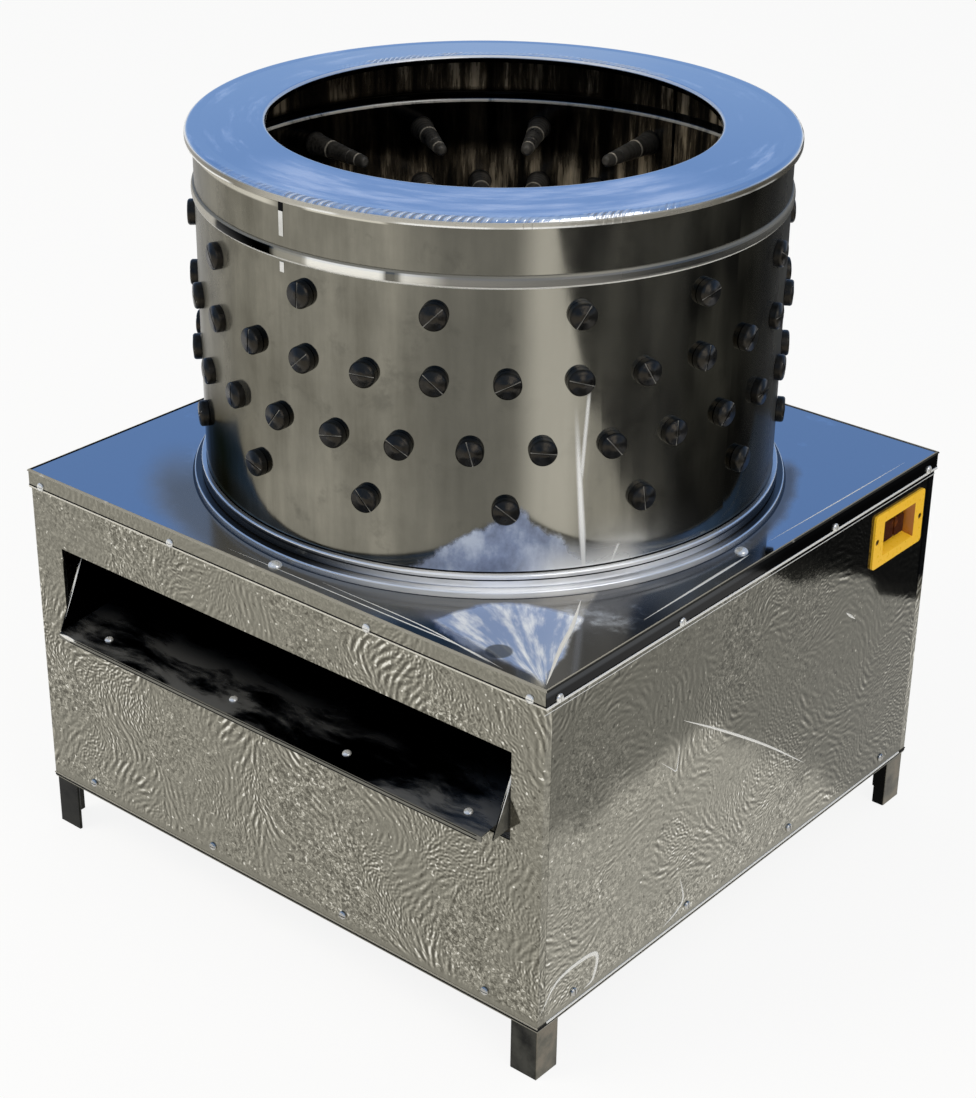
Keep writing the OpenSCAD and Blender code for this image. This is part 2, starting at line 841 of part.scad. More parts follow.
module cheek(side) {
    rear = back_y + chute_t;
    shoulder_y = -back_y;
    foot = -lip_y + cheek_foot;
    color(bright_steel) translate([chute_shift + side * (chute_half + chute_t / 2), 0, 0]) across(chute_t) {
        polygon([[foot, floor_z(foot) - floor_drop], [rear, floor_z(rear) - floor_drop],
            [rear, lid_under], [shoulder_y, lid_under], [shoulder_y, lid_under - cheek_shoulder],
            [foot, floor_z(foot) + 1]]);
    }
}

module chute_cheek_right() cheek(1);
module chute_cheek_left() cheek(-1);

module chute_back() {
    low = floor_z(back_y) - floor_drop;
    color(bright_steel) translate([chute_shift - chute_half, back_y, low]) {
        cube([chute_w, chute_t, lid_under - low]);
    }
}

module chute_bracket() {
    tip = -lip_y + chute_t + seat_gap;
    heel = -in_d + bracket_t;
    under = function (y) floor_z(y) - floor_drop;
    color(dark_steel) difference() {
        translate([chute_shift, 0, 0]) across(chute_w - 2 * bracket_inset - 2 * lip_notch_w) {
            polygon([[tip, under(tip)], [heel, under(heel)], [heel, mouth_bottom - bracket_leg],
                [-in_d, mouth_bottom - bracket_leg], [-in_d, under(-in_d) - bracket_t],
                [tip, under(tip) - bracket_t]]);
        }
        lip_screw_holes();
    }
}

module chute_screws() {
    color(bright_steel) on_lip_screws() pan_screw(chute_t + bracket_t + 3);
}

module shaft_collar() {
    color(bright_steel) translate([0, 0, floor_z(0) - collar_down]) {
        ring(collar_r, collar_bore_r, collar_up + collar_down);
    }
}

// Bearing housing

module bearing_beams() {
    length = 2 * (in_w - 1);
    color(dark_steel) for (y = [-beam_y, beam_y]) {
        translate([-length / 2, y - beam_w / 2, rail_top]) difference() {
            cube([length, beam_w, beam_w]);
            translate([-through, beam_t, beam_t]) {
                cube([length + 2 * through, beam_w - 2 * beam_t, beam_w - 2 * beam_t]);
            }
        }
    }
}

module bearing_plate() {
    half_x = housing_flange_r + plate_t;
    half_y = beam_y + beam_w / 2;
    color(dark_steel) difference() {
        translate([-half_x, -half_y, beam_top]) cube([2 * half_x, 2 * half_y, plate_t]);
        translate([0, 0, beam_top - through]) {
            cylinder(r = housing_r + seat_gap, h = plate_t + 2 * through);
            polar(4, housing_bolt_circle, 45) {
                cylinder(r = housing_bolt_r + hole_gap, h = plate_t + 2 * through);
            }
        }
    }
}

module bearing_housing() {
    pocket_r = bearing_d / 2 + run_gap;
    color(motor_grey) difference() {
        union() {
            translate([0, 0, housing_bottom]) cylinder(r = housing_r, h = housing_h);
            translate([0, 0, housing_seat]) cylinder(r = housing_flange_r, h = housing_flange_h);
        }
        translate([0, 0, housing_bottom - through]) {
            cylinder(r = bearing_d / 2 - bearing_lip, h = housing_h + 2 * through);
            cylinder(r = pocket_r, h = pocket_h + through);
        }
        translate([0, 0, housing_top - pocket_h]) cylinder(r = pocket_r, h = pocket_h + through);
        translate([0, 0, housing_seat - through]) polar(4, housing_bolt_circle, 45) {
            cylinder(r = housing_bolt_r + hole_gap, h = housing_flange_h + 2 * through);
        }
    }
}

module ball_bearings() {
    for (z = [housing_bottom + pocket_h - bearing_w, housing_top - pocket_h]) {
        color(bright_steel) translate([0, 0, z]) ring(bearing_d / 2, shaft_r + run_gap, bearing_w);
    }
}

module housing_bolts() {
    grip = housing_flange_h + plate_t;
    color(bright_steel) translate([0, 0, housing_seat + housing_flange_h]) polar(4, housing_bolt_circle, 45) {
        cylinder(r = housing_bolt_head_r, h = housing_bolt_head_h, $fn = 6);
        translate([0, 0, -grip - housing_bolt_head_h]) {
            cylinder(r = housing_bolt_r, h = grip + housing_bolt_head_h + through);
            cylinder(r = housing_bolt_head_r, h = housing_bolt_head_h, $fn = 6);
        }
    }
}

// Switch, gland and lead

module rounded_plate(w, h, t, corner) {
    linear_extrude(t) {
        square([w - 2 * corner, h], center = true);
        square([w, h - 2 * corner], center = true);
        for (x = [-1, 1], y = [-1, 1]) translate([x * (w / 2 - corner), y * (h / 2 - corner)]) circle(corner);
    }
}

// A recess that narrows as it goes in: local +Z points out of the panel, local X is up
module funnel(mouth_w, mouth_h, floor_w, floor_h, depth) {
    slab = 0.01;
    hull() {
        translate([-mouth_h / 2, -mouth_w / 2, -slab]) cube([mouth_h, mouth_w, slab]);
        translate([-floor_h / 2, -floor_w / 2, -depth]) cube([floor_h, floor_w, slab]);
    }
}

module switch_bezel() {
    shell_depth = recess_depth - bezel_t;
    wall = 2 * recess_wall;
    color(switch_yellow) difference() {
        union() {
            on_right(switch_y, switch_z, half_w) rounded_plate(bezel_h, bezel_w, bezel_t, bezel_corner);
            on_right(switch_y, switch_z, half_w + seat_gap / 2) {
                funnel(recess_w - hole_gap * 2 - 1, recess_h - hole_gap * 2 - 1,
                    funnel_w + wall, funnel_h + wall, shell_depth + seat_gap / 2);
            }
        }
        on_right(switch_y, switch_z, half_w + bezel_t + through / 10) {
            funnel(recess_w - wall, recess_h - wall, funnel_w, funnel_h, recess_depth + 2 * through / 10);
        }
        bezel_screw_holes();
    }
}

module on_button_place(side, out) {
    translate([out, switch_y + side * button_y, switch_z]) rotate([0, 90, 0]) children();
}

module switch_box() {
    pocket = button_embed + button_travel + seat_gap;
    low = [recess_floor_x - switch_box_depth, switch_y - switch_box_w / 2, switch_z - switch_box_h / 2];
    color([0.1, 0.1, 0.1]) difference() {
        translate(low) {
            cube([switch_box_depth, switch_box_w, switch_box_h]);
        }
        for (side = [-1, 1]) on_button_place(side, recess_floor_x - pocket) {
            rounded_plate(button_h + 2 * seat_gap, button_w + 2 * seat_gap, pocket + through, 2);
        }
    }
}

module button(side) {
    on_button_place(side, recess_floor_x - button_embed) {
        rounded_plate(button_h, button_w, button_embed + button_proud, 2);
    }
}

module on_button() color([0.05, 0.12, 0.07]) button(-1);
module off_button() color([0.2, 0.05, 0.04]) button(1);

module bezel_screws() {
    color(bright_steel) on_bezel_screws() {
        pan_screw(bezel_t + panel_t + screw_tail, bezel_screw_head_r, bezel_screw_head_h, bezel_screw_r);
    }
}

module cable_gland() {
    reach = lip_reach;
    color(black_rubber) on_rear(gland_x, gland_z, half_d) difference() {
        union() {
            cylinder(r = gland_hex_r, h = gland_hex_h, $fn = 6);
            rotate_extrude() {
                polygon(concat([[0, 0], [gland_cap_r, 0]],
                    arc(gland_cap_r - 4, reach - 4, 4, 0, 90, 5), [[0, reach]]));
            }
            translate([0, 0, -panel_t - gland_tail]) cylinder(r = gland_stem_r, h = panel_t + gland_tail + 1);
            translate([0, 0, -panel_t - gland_nut_h]) cylinder(r = gland_hex_r - 2, h = gland_nut_h, $fn = 6);
        }
        translate([0, 0, -panel_t - gland_tail - through]) {
            cylinder(r = gland_bore_r, h = panel_t + gland_tail + reach + 2 * through);
        }
    }
}

// One quarter bend of the lead in the local XZ plane, from local -Z round to local -X
module lead_elbow() {
    translate([-lead_bend, 0, 0]) rotate([90, 0, 0]) rotate([0, 0, -90]) {
        rotate_extrude(angle = 90) translate([lead_bend, 0]) circle(lead_r);
    }
}

module motor_lead() {
    start_z = switch_z - switch_box_h / 2;
    run_x = lead_x - lead_end_x - 2 * lead_bend;
    color([0.12, 0.12, 0.13]) {
        translate([lead_x, lead_y, lead_z + lead_bend]) {
            cylinder(r = lead_r, h = start_z - lead_z - lead_bend);
            lead_elbow();
        }
        translate([lead_end_x + lead_bend, lead_y, lead_z]) rotate([0, 90, 0]) {
            cylinder(r = lead_r, h = run_x);
        }
        translate([lead_end_x + lead_bend, lead_y - lead_bend, lead_z]) {
            rotate([0, 0, 90]) rotate_extrude(angle = 90) translate([lead_bend, 0]) circle(lead_r);
        }
        translate([lead_end_x, lead_end_y, lead_z]) rotate([-90, 0, 0]) {
            cylinder(r = lead_r, h = lead_y - lead_bend - lead_end_y);
        }
    }
}

// Motor

module at_motor(z) translate([motor_x, motor_y, z]) children();

module motor_plate() {
    left = -in_w + angle_t + seat_gap;
    rear = in_d - angle_t - seat_gap;
    right = motor_x + motor_flange_r + 6;
    front = beam_y + beam_w / 2 + 2;
    color(dark_steel) difference() {
        translate([left, front, rail_top]) cube([right - left, rear - front, plate_t]);
        at_motor(rail_top - through) {
            cylinder(r = motor_core_r - 5, h = plate_t + 2 * through);
            polar(4, motor_bolt_circle, 45) rotate([0, 0, -45]) {
                linear_extrude(plate_t + 2 * through) motor_slot();
            }
        }
    }
}

// Slot that lets the motor slide sideways to tighten the belt
module motor_slot() {
    square([2 * slot_reach, 2 * (motor_bolt_r + hole_gap)], center = true);
    for (x = [-slot_reach, slot_reach]) translate([x, 0]) circle(motor_bolt_r + hole_gap);
}

module motor_flange() {
    color(motor_grey) at_motor(motor_plate_top) difference() {
        cylinder(r = motor_flange_r, h = motor_flange_h);
        translate([0, 0, -through]) {
            cylinder(r = motor_shaft_r + run_gap, h = motor_flange_h + 2 * through);
            polar(4, motor_bolt_circle, 45) {
                cylinder(r = motor_bolt_r + hole_gap, h = motor_flange_h + 2 * through);
            }
        }
    }
}

module motor_body() {
    fin_low = 14;
    color(motor_grey) at_motor(motor_bottom) difference() {
        union() {
            cylinder(r = motor_shell_r, h = motor_h);
            translate([0, 0, motor_h - motor_end_h]) cylinder(r = motor_r, h = motor_end_h);
            for (i = [0 : fin_count - 1]) rotate([0, 0, (i + 0.5) * 360 / fin_count]) {
                translate([motor_shell_r - 2, -fin_t / 2, fin_low]) {
                    cube([motor_r - motor_shell_r + 2, fin_t, motor_h - fin_low - motor_end_h + 1]);
                }
            }
            translate([-motor_r - pad_reach, -box_w / 2 + 8, box_bottom - motor_bottom + 6]) {
                cube([pad_reach + 25, box_w - 16, box_h - 12]);
            }
        }
        translate([0, 0, -through]) {
            cylinder(r = motor_core_r + air_gap, h = motor_h - motor_end_h + through);
            cylinder(r = motor_shaft_r + run_gap, h = motor_h + 2 * through);
        }
    }
}

module motor_fan_cover() {
    vent_r = 5;
    color(motor_grey) at_motor(motor_top) difference() {
        cylinder(r = motor_r, h = fan_cover_h);
        translate([0, 0, -through]) {
            cylinder(r = motor_r - fan_cover_t, h = fan_cover_h - fan_cover_t + through);
        }
        translate([0, 0, fan_cover_h - fan_cover_t - through]) {
            polar(16, motor_r * 0.72) cylinder(r = vent_r, h = fan_cover_t + 2 * through);
            polar(8, motor_r * 0.4) cylinder(r = vent_r, h = fan_cover_t + 2 * through);
        }
    }
}

module terminal_box() {
    lid_inset = 3;
    color(motor_grey) translate([box_face_x - box_depth, motor_y - box_w / 2, box_bottom]) {
        cube([box_depth, box_w, box_h]);
        translate([-lid_inset, lid_inset, lid_inset]) {
            cube([lid_inset + 1, box_w - 2 * lid_inset, box_h - 2 * lid_inset]);
        }
    }
}

module motor_bolts() {
    grip = motor_flange_h + plate_t;
    nut_h = 6;
    color(bright_steel) at_motor(motor_plate_top + motor_flange_h) polar(4, motor_bolt_circle, 45) {
        cylinder(r = motor_bolt_head_r, h = motor_bolt_head_h, $fn = 6);
        translate([0, 0, -grip - nut_h]) {
            cylinder(r = motor_bolt_r, h = grip + nut_h + through);
            cylinder(r = motor_bolt_head_r, h = nut_h, $fn = 6);
        }
    }
}

module motor_rotor() {
    core_low = motor_bottom + 10;
    core_h = motor_h - motor_end_h - 20;
    shaft_top = motor_top + fan_lift + fan_h;
    color(bright_steel) at_motor(0) {
        translate([0, 0, pulley_bottom]) cylinder(r = motor_shaft_r, h = shaft_top - pulley_bottom);
        translate([0, 0, core_low]) cylinder(r = motor_core_r, h = core_h);
    }
}

module motor_fan() {
    blades = 7;
    hub_r = motor_shaft_r + 5;
    color(black_rubber) at_motor(motor_top + fan_lift) difference() {
        union() {
            cylinder(r = hub_r, h = fan_h);
            cylinder(r = fan_r, h = 2);
            for (i = [0 : blades - 1]) rotate([0, 0, i * 360 / blades]) {
                translate([hub_r - 2, -1, 1]) cube([fan_r - hub_r, 2, fan_h - 3]);
            }
        }
        translate([0, 0, -through]) cylinder(r = motor_shaft_r + run_gap, h = fan_h + 2 * through);
    }
}

// Belt drive

// Half outline of a grooved pulley rim of outer radius r, its bottom face at z = 0
function pulley_line(r, bore_r) = let (
    mid = pulley_w / 2,
    half_top = belt_w / 2 + belt_gap,
    half_floor = half_top - belt_taper * (belt_h + groove_floor) / belt_h,
    floor_r = r - belt_h - groove_floor)
    [[bore_r, 0], [r, 0], [r, mid - half_top], [floor_r, mid - half_floor], [floor_r, mid + half_floor],
        [r, mid + half_top], [r, pulley_w], [bore_r, pulley_w]];

// The belt's section as [out, up], in order round the section
belt_section = [[0, -belt_w / 2], [0, belt_w / 2],
    [-belt_h, belt_w / 2 - belt_taper], [-belt_h, -belt_w / 2 + belt_taper]];

// Sections of the belt along its wrap round a pulley of radius r, as a list of corner points
function belt_wrap(cx, cy, r, a0, a1, n) =
    [for (i = [0 : n], p = belt_section) let (a = a0 + (a1 - a0) * i / n)
        [cx + (r + p[0]) * cos(a), cy + (r + p[0]) * sin(a), belt_z + p[1]]];

// The two wraps follow each other round the loop, and the straight runs join their ends
module v_belt() {
    first = belt_dir + belt_contact;
    last = belt_dir - belt_contact;
    points = concat(
        belt_wrap(0, 0, drive_r, first, last + 360, belt_steps),
        belt_wrap(motor_x, motor_y, small_r, last, first, belt_steps / 2));
    count = len(points);
    color([0.1, 0.1, 0.1]) polyhedron(points, [for (i = [0 : 4 : count - 1], k = [0 : 3])
        let (j = (k + 1) % 4, next = (i + 4) % count) [i + k, i + j, next + j, next + k]]);
}

module motor_pulley() {
    color(dark_steel) at_motor(pulley_bottom) rotate_extrude() {
        polygon(pulley_line(small_r, motor_shaft_r + run_gap));
    }
}

module drive_pulley() {
    rim_in_r = drive_r - belt_h - groove_floor - pulley_rim_t;
    bore_r = shaft_r + run_gap;
    hole_circle = (rim_in_r + pulley_hub_r) / 2;
    color(dark_steel) translate([0, 0, pulley_bottom]) difference() {
        union() {
            rotate_extrude() polygon(pulley_line(drive_r, rim_in_r));
            translate([0, 0, (pulley_w - pulley_web_h) / 2]) cylinder(r = rim_in_r + 1, h = pulley_web_h);
            cylinder(r = pulley_hub_r, h = pulley_w);
        }
        translate([0, 0, -through]) {
            cylinder(r = bore_r, h = pulley_w + 2 * through);
            polar(pulley_hole_count, hole_circle) {
                cylinder(r = (rim_in_r - pulley_hub_r) * 0.33, h = pulley_w + 2 * through);
            }
        }
    }
}

module pulley_bolt() {
    color(bright_steel) translate([0, 0, pulley_bottom - washer_t]) {
        cylinder(r = shaft_r + 6, h = washer_t);
        translate([0, 0, -pulley_bolt_h]) cylinder(r = pulley_bolt_r, h = pulley_bolt_h, $fn = 6);
    }
}

// Turntable

module main_shaft() {
    color(bright_steel) rotate_extrude() {
        polygon([[0, pulley_bottom], [shaft_r, pulley_bottom], [shaft_r, shoulder_z],
            [shoulder_r, shoulder_z], [shoulder_r, hub_bottom], [shaft_r, hub_bottom],
            [shaft_r, disc_under], [stud_r, disc_under], [stud_r, disc_top + stud_h],
            [0, disc_top + stud_h]]);
    }
}

module turntable_hub() {
    color(motor_grey) difference() {
        union() {
            translate([0, 0, hub_bottom]) cylinder(r = hub_boss_r, h = hub_boss_h);
            translate([0, 0, disc_under - hub_flange_h]) cylinder(r = hub_flange_d / 2, h = hub_flange_h);
        }
        translate([0, 0, hub_bottom - through]) {
            cylinder(r = shaft_r + run_gap, h = hub_boss_h + hub_flange_h + 2 * through);
        }
        on_hub_bolts() translate([0, 0, -disc_t - hub_flange_h - through]) {
            cylinder(r = disc_bolt_r + hole_gap, h = disc_t + hub_flange_h + 2 * through);
        }
    }
}

module on_hub_bolts() translate([0, 0, disc_top]) polar(hub_bolt_count, hub_bolt_circle) children();

module on_paddle_bolts() {
    for (i = [0 : paddle_count - 1], r = paddle_bolts) rotate([0, 0, i * 360 / paddle_count]) {
        translate([r, paddle_t / 2 + paddle_flange / 2, disc_top]) children();
    }
}

module on_disc_fingers() {
    for (i = [0 : len(ring_radii) - 1]) {
        translate([0, 0, disc_under - seat_gap]) polar(ring_counts[i], ring_radii[i], 180 / ring_counts[i]) {
            rotate([180, 0, 0]) children();
        }
    }
}

module turntable_disc() {
    color(bright_steel) difference() {
        translate([0, 0, disc_under]) cylinder(r = disc_r, h = disc_t);
        translate([0, 0, disc_under - through]) cylinder(r = stud_r + hole_gap, h = disc_t + 2 * through);
        on_disc_fingers() translate([0, 0, -disc_t - 2 * through]) {
            cylinder(r = finger_hole_r, h = disc_t + 4 * through);
        }
        on_hub_bolts() translate([0, 0, -disc_t - through]) {
            cylinder(r = disc_bolt_r + hole_gap, h = disc_t + 2 * through);
        }
        on_paddle_bolts() translate([0, 0, -disc_t - through]) {
            cylinder(r = disc_bolt_r + hole_gap, h = disc_t + 2 * through);
        }
    }
}

module disc_fingers() color(black_rubber) on_disc_fingers() finger(disc_neck, disc_finger_len);

module disc_bolt(grip) {
    rotate_extrude() {
        polygon(concat([[0, -grip - disc_nut_h], [disc_bolt_r, -grip - disc_nut_h], [disc_bolt_r, 0],
            [disc_bolt_head_r, 0]],
            [for (a = [15 : 15 : 90]) [disc_bolt_head_r * cos(a), disc_bolt_head_h * sin(a)]]));
    }
    translate([0, 0, -grip - disc_nut_h]) cylinder(r = disc_nut_r, h = disc_nut_h, $fn = 6);
}

module disc_bolts() {
    color(bright_steel) {
        on_hub_bolts() disc_bolt(disc_t + hub_flange_h);
        on_paddle_bolts() disc_bolt(disc_t + paddle_t);
    }
}

module centre_cap() {
    skirt = 6;
    color(bright_steel) translate([0, 0, disc_top]) difference() {
        rotate_extrude() {
            polygon(concat([[0, 0], [cap_r, 0]],
                [for (a = [0 : 15 : 90]) [cap_r * cos(a), skirt + (cap_h - skirt) * sin(a)]]));
        }
        translate([0, 0, -through]) cylinder(r = stud_r + run_gap, h = stud_h + seat_gap + through);
    }
}

module sweep_paddles() {
    length = paddle_out - paddle_in;
    color(bright_steel) difference() {
        for (i = [0 : paddle_count - 1]) rotate([0, 0, i * 360 / paddle_count]) {
            translate([paddle_in, -paddle_t / 2, disc_under - paddle_h]) cube([length, paddle_t, paddle_h]);
            translate([paddle_in, -paddle_t / 2, disc_under - paddle_t]) {
                cube([length, paddle_t + paddle_flange, paddle_t]);
            }
        }
        on_paddle_bolts() translate([0, 0, -disc_t - paddle_t - through]) {
            cylinder(r = disc_bolt_r + hole_gap, h = disc_t + paddle_t + 2 * through);
        }
    }
}

leg_front_left();
leg_front_right();
leg_rear_left();
leg_rear_right();
top_rails();
lower_rails();
front_panel();
rear_panel();
left_panel();
right_panel();
lid();
skirt_screws();
panel_screws();
lid_bolts();
drum_shell();
foot_ring();
rim_ring();
wall_fingers_row_1();
wall_fingers_row_2();
wall_fingers_row_3();
wall_fingers_row_4();
chute_floor();
chute_cheek_left();
chute_cheek_right();
chute_back();
chute_bracket();
chute_screws();
shaft_collar();
bearing_beams();
bearing_plate();
bearing_housing();
ball_bearings();
housing_bolts();
switch_bezel();
switch_box();
bezel_screws();
on_button();
off_button();
cable_gland();
motor_lead();
motor_plate();
motor_flange();
motor_body();
motor_fan_cover();
terminal_box();
motor_bolts();
v_belt();
motor_rotor();
motor_pulley();
motor_fan();
main_shaft();
turntable_hub();
turntable_disc();
disc_bolts();
centre_cap();
disc_fingers();
sweep_paddles();
drive_pulley();
pulley_bolt();
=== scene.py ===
"""Looks of the drum poultry plucker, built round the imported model. Lengths are in metres."""

import json
import math

import bmesh
import bpy
from mathutils import Matrix, Vector

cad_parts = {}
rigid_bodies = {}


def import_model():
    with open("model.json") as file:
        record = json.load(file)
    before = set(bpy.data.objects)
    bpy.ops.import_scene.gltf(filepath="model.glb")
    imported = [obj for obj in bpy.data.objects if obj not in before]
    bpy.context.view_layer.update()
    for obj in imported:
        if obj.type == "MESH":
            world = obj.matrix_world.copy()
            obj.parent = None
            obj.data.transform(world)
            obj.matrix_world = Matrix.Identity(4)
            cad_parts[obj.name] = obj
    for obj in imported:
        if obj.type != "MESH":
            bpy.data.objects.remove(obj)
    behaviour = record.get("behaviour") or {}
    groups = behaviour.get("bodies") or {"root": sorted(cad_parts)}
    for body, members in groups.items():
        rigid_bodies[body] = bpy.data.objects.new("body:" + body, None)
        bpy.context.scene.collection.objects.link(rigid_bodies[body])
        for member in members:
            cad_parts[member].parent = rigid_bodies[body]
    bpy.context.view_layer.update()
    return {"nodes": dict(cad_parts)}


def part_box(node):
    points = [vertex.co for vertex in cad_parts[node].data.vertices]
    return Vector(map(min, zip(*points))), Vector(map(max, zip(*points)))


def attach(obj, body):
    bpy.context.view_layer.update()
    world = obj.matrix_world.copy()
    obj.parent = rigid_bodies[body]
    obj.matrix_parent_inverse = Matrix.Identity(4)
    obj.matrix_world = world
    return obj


for leftover in list(bpy.data.objects):
    bpy.data.objects.remove(leftover)

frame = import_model()
NODES = frame["nodes"]

# Places read from the frame
DRUM_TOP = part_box("drum_shell")[1].z
LID_LOW, LID_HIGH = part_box("lid")
LID_TOP = LID_HIGH.z
RIM_LOW, RIM_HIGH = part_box("rim_ring")
PANEL_LOW, PANEL_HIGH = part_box("front_panel")
PANEL_BACK = -PANEL_LOW.y
CHUTE_LOW, CHUTE_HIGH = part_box("chute_floor")
FOOT_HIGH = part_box("foot_ring")[1]
FOOT_R = FOOT_HIGH.x
RECESS_INSET = 0.0175
RECESS_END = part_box("switch_bezel")[1].y - RECESS_INSET
SKIRT_SPLIT_UP = 0.002
SKIRT_MIDDLE = (LID_LOW.z + LID_TOP) / 2 + SKIRT_SPLIT_UP
ROLL_UP = 0.0045
ROLL_Z = RIM_LOW.z + ROLL_UP

# Drum and finger sizes, as in the part
DRUM_R = 0.275
DRUM_IN_R = 0.2735
MOUTH_R = 0.2085
BEAD_DROP = 0.0555
BEAD_Z = DRUM_TOP - BEAD_DROP
FINGER_COUNT = 28
FINGER_PHASE = -47.4
FINGER_STEP = 360 / FINGER_COUNT
ROW_HEIGHTS = {1: 0.256, 2: 0.197, 3: 0.135, 4: 0.080}
ROWS = {1: (2, 1), 2: (1, 0), 3: (1, 0.5), 4: (2, 0)}
SEAT_GAP = 0.0003
FINGER_SEAT = DRUM_R + SEAT_GAP
FINGER_RINGS = (0.2439, 0.2011)
HEAD_R = 0.01225
HEAD_H = 0.008
SLOT_DEPTH = 0.0014
SLOT_TURN = 137.5
SLOT_ROW_SKIP = 5

RUBBER_TINT = (1.0, 0.86, 0.66, 1.0)
EDGE_TINT = (0.32, 0.31, 0.29, 1.0)
# Most of a noise's values lie in this reach
NOISE_REACH = (0.3, 0.7)


def srgb(r, g, b):
    """A colour given in display values from 0 to 255, as linear values with an alpha of 1."""
    return tuple(((c / 255 + 0.055) / 1.055) ** 2.4 if c > 10 else c / 3294.6 for c in (r, g, b)) + (1,)


class Nodes:
    """A node tree being built. Its methods add nodes and give back output sockets."""

    place = None

    def __init__(self, tree):
        self.tree = tree

    def add(self, kind, inputs=(), **settings):
        node = self.tree.nodes.new("ShaderNode" + kind)
        for name, value in settings.items():
            setattr(node, name, value)
        for name, value in dict(inputs).items():
            self.put(node.inputs[name], value)
        return node

    def put(self, socket, value):
        if isinstance(value, bpy.types.NodeSocket):
            self.tree.links.new(value, socket)
        else:
            socket.default_value = value

    def math(self, operation, a, b=0.0, c=0.0):
        return self.add("Math", {0: a, 1: b, 2: c}, operation=operation).outputs[0]

    def plus(self, a, b):
        return self.math("ADD", a, b)

    def minus(self, a, b):
        return self.math("SUBTRACT", a, b)

    def times(self, a, b):
        return self.math("MULTIPLY", a, b)

    def most(self, a, b):
        return self.math("MAXIMUM", a, b)

    def least(self, a, b):
        return self.math("MINIMUM", a, b)

    def scaled(self, value, factor, offset):
        return self.math("MULTIPLY_ADD", value, factor, offset)

    def away(self, value, middle):
        return self.math("ABSOLUTE", self.minus(value, middle))

    def vector(self, operation, a, b):
        return self.add("VectorMath", {0: a, 1: b}, operation=operation).outputs[0]

    def noise(self, scale, detail=2.0, roughness=0.5, vector=None, distortion=0.0):
        values = {"Vector": vector or self.place, "Scale": scale, "Detail": detail,
                  "Roughness": roughness, "Distortion": distortion}
        return self.add("TexNoise", values).outputs["Fac"]

    def drifted(self, scale, reach):
        """The place, pushed about by a slow noise, so that a grain laid on it curls."""
        push = self.add("TexNoise", {"Vector": self.place, "Scale": scale}).outputs["Color"]
        push = self.vector("SUBTRACT", push, (0.5, 0.5, 0.5))
        return self.vector("ADD", self.place, self.vector("MULTIPLY", push, (reach,) * 3))

    def span(self, value, low, high, to_low=0.0, to_high=1.0, smooth=True):
        """Maps a value's range from low to high onto another range, clamped."""
        values = {"Value": value, "From Min": low, "From Max": high, "To Min": to_low, "To Max": to_high}
        kind = "SMOOTHSTEP" if smooth else "LINEAR"
        return self.add("MapRange", values, interpolation_type=kind).outputs["Result"]

    def band(self, value, middle, half, soft):
        """1 where a value lies within half of the middle, falling to 0 over soft."""
        return self.span(self.away(value, middle), half, half + soft, 1.0, 0.0)

    def mix(self, factor, a, b):
        node = self.add("Mix", data_type="RGBA")
        self.put(node.inputs[0], factor)
        self.put(node.inputs[6], a)
        self.put(node.inputs[7], b)
        return node.outputs[2]

    def coats(self, base, *layers):
        """Lays tones over a base in turn, each as far as its mask says."""
        for mask, tone in layers:
            base = self.mix(mask, base, tone)
        return base

    def ramp(self, factor, stops):
        node = self.add("ValToRGB", {"Fac": factor})
        elements = node.color_ramp.elements
        while len(elements) < len(stops):
            elements.new(1.0)
        for element, (place, colour) in zip(elements, stops):
            element.position = place
            element.color = colour
        return node.outputs["Color"]


class Graph(Nodes):
    """A material with one shader being built, placed by its object's own coordinates."""

    def __init__(self, name, **values):
        self.material = bpy.data.materials.new(name)
        self.material.use_nodes = True
        super().__init__(self.material.node_tree)
        self.shader = self.tree.nodes["Principled BSDF"]
        for socket, value in values.items():
            self.set(socket.replace("_", " "), value)
        self.place = self.add("TexCoord").outputs["Object"]

    def set(self, socket, value):
        self.put(self.shader.inputs[socket], value)

    def axes(self):
        return self.add("SeparateXYZ", {0: self.place}).outputs

    def radius(self):
        x, y, _ = self.axes()
        return self.math("SQRT", self.plus(self.times(x, x), self.times(y, y)))

    def angle(self):
        """Degrees round the drum axis."""
        x, y, _ = self.axes()
        return self.times(self.math("ARCTAN2", y, x), 180 / math.pi)

    def round_place(self):
        """The place unrolled round the drum axis: angle times radius, radius, height."""
        along = self.times(self.angle(), math.pi / 180 * DRUM_R)
        return self.add("CombineXYZ", {0: along, 1: self.radius(), 2: self.axes()[2]}).outputs[0]

    def facing(self, axis):
        """How far the surface looks along an axis, from -1 to 1."""
        normal = self.add("NewGeometry").outputs["Normal"]
        return self.add("SeparateXYZ", {0: normal}).outputs[axis]

    def rough(self, noise, low, high):
        """Sets the roughness between two values, as a noise goes."""
        self.set("Roughness", self.span(noise, *NOISE_REACH, low, high))

    def bump(self, height, strength, distance):
        node = self.add("Bump", {"Height": height, "Strength": strength, "Distance": distance})
        self.set("Normal", node.outputs["Normal"])


# Steel finishes

# Tones of the sheets' painted reflection pattern: plain, under painted light and under painted shade
SHEET_TONES = [(0.3, srgb(88, 85, 75)), (0.5, srgb(131, 128, 116)), (0.66, srgb(170, 166, 152)),
               (0.8, srgb(230, 227, 216))]
LIT_TONES = [(0.3, srgb(98, 95, 85)), (0.5, srgb(144, 141, 129)), (0.66, srgb(188, 184, 170)),
             (0.8, srgb(250, 248, 240))]
SHADE_TONES = [(0.3, srgb(66, 64, 56)), (0.5, srgb(98, 96, 86)), (0.66, srgb(130, 127, 116)),
               (0.8, srgb(176, 173, 162))]
TURN_MOST = 1.6
SIDE_LEAN = 1.5
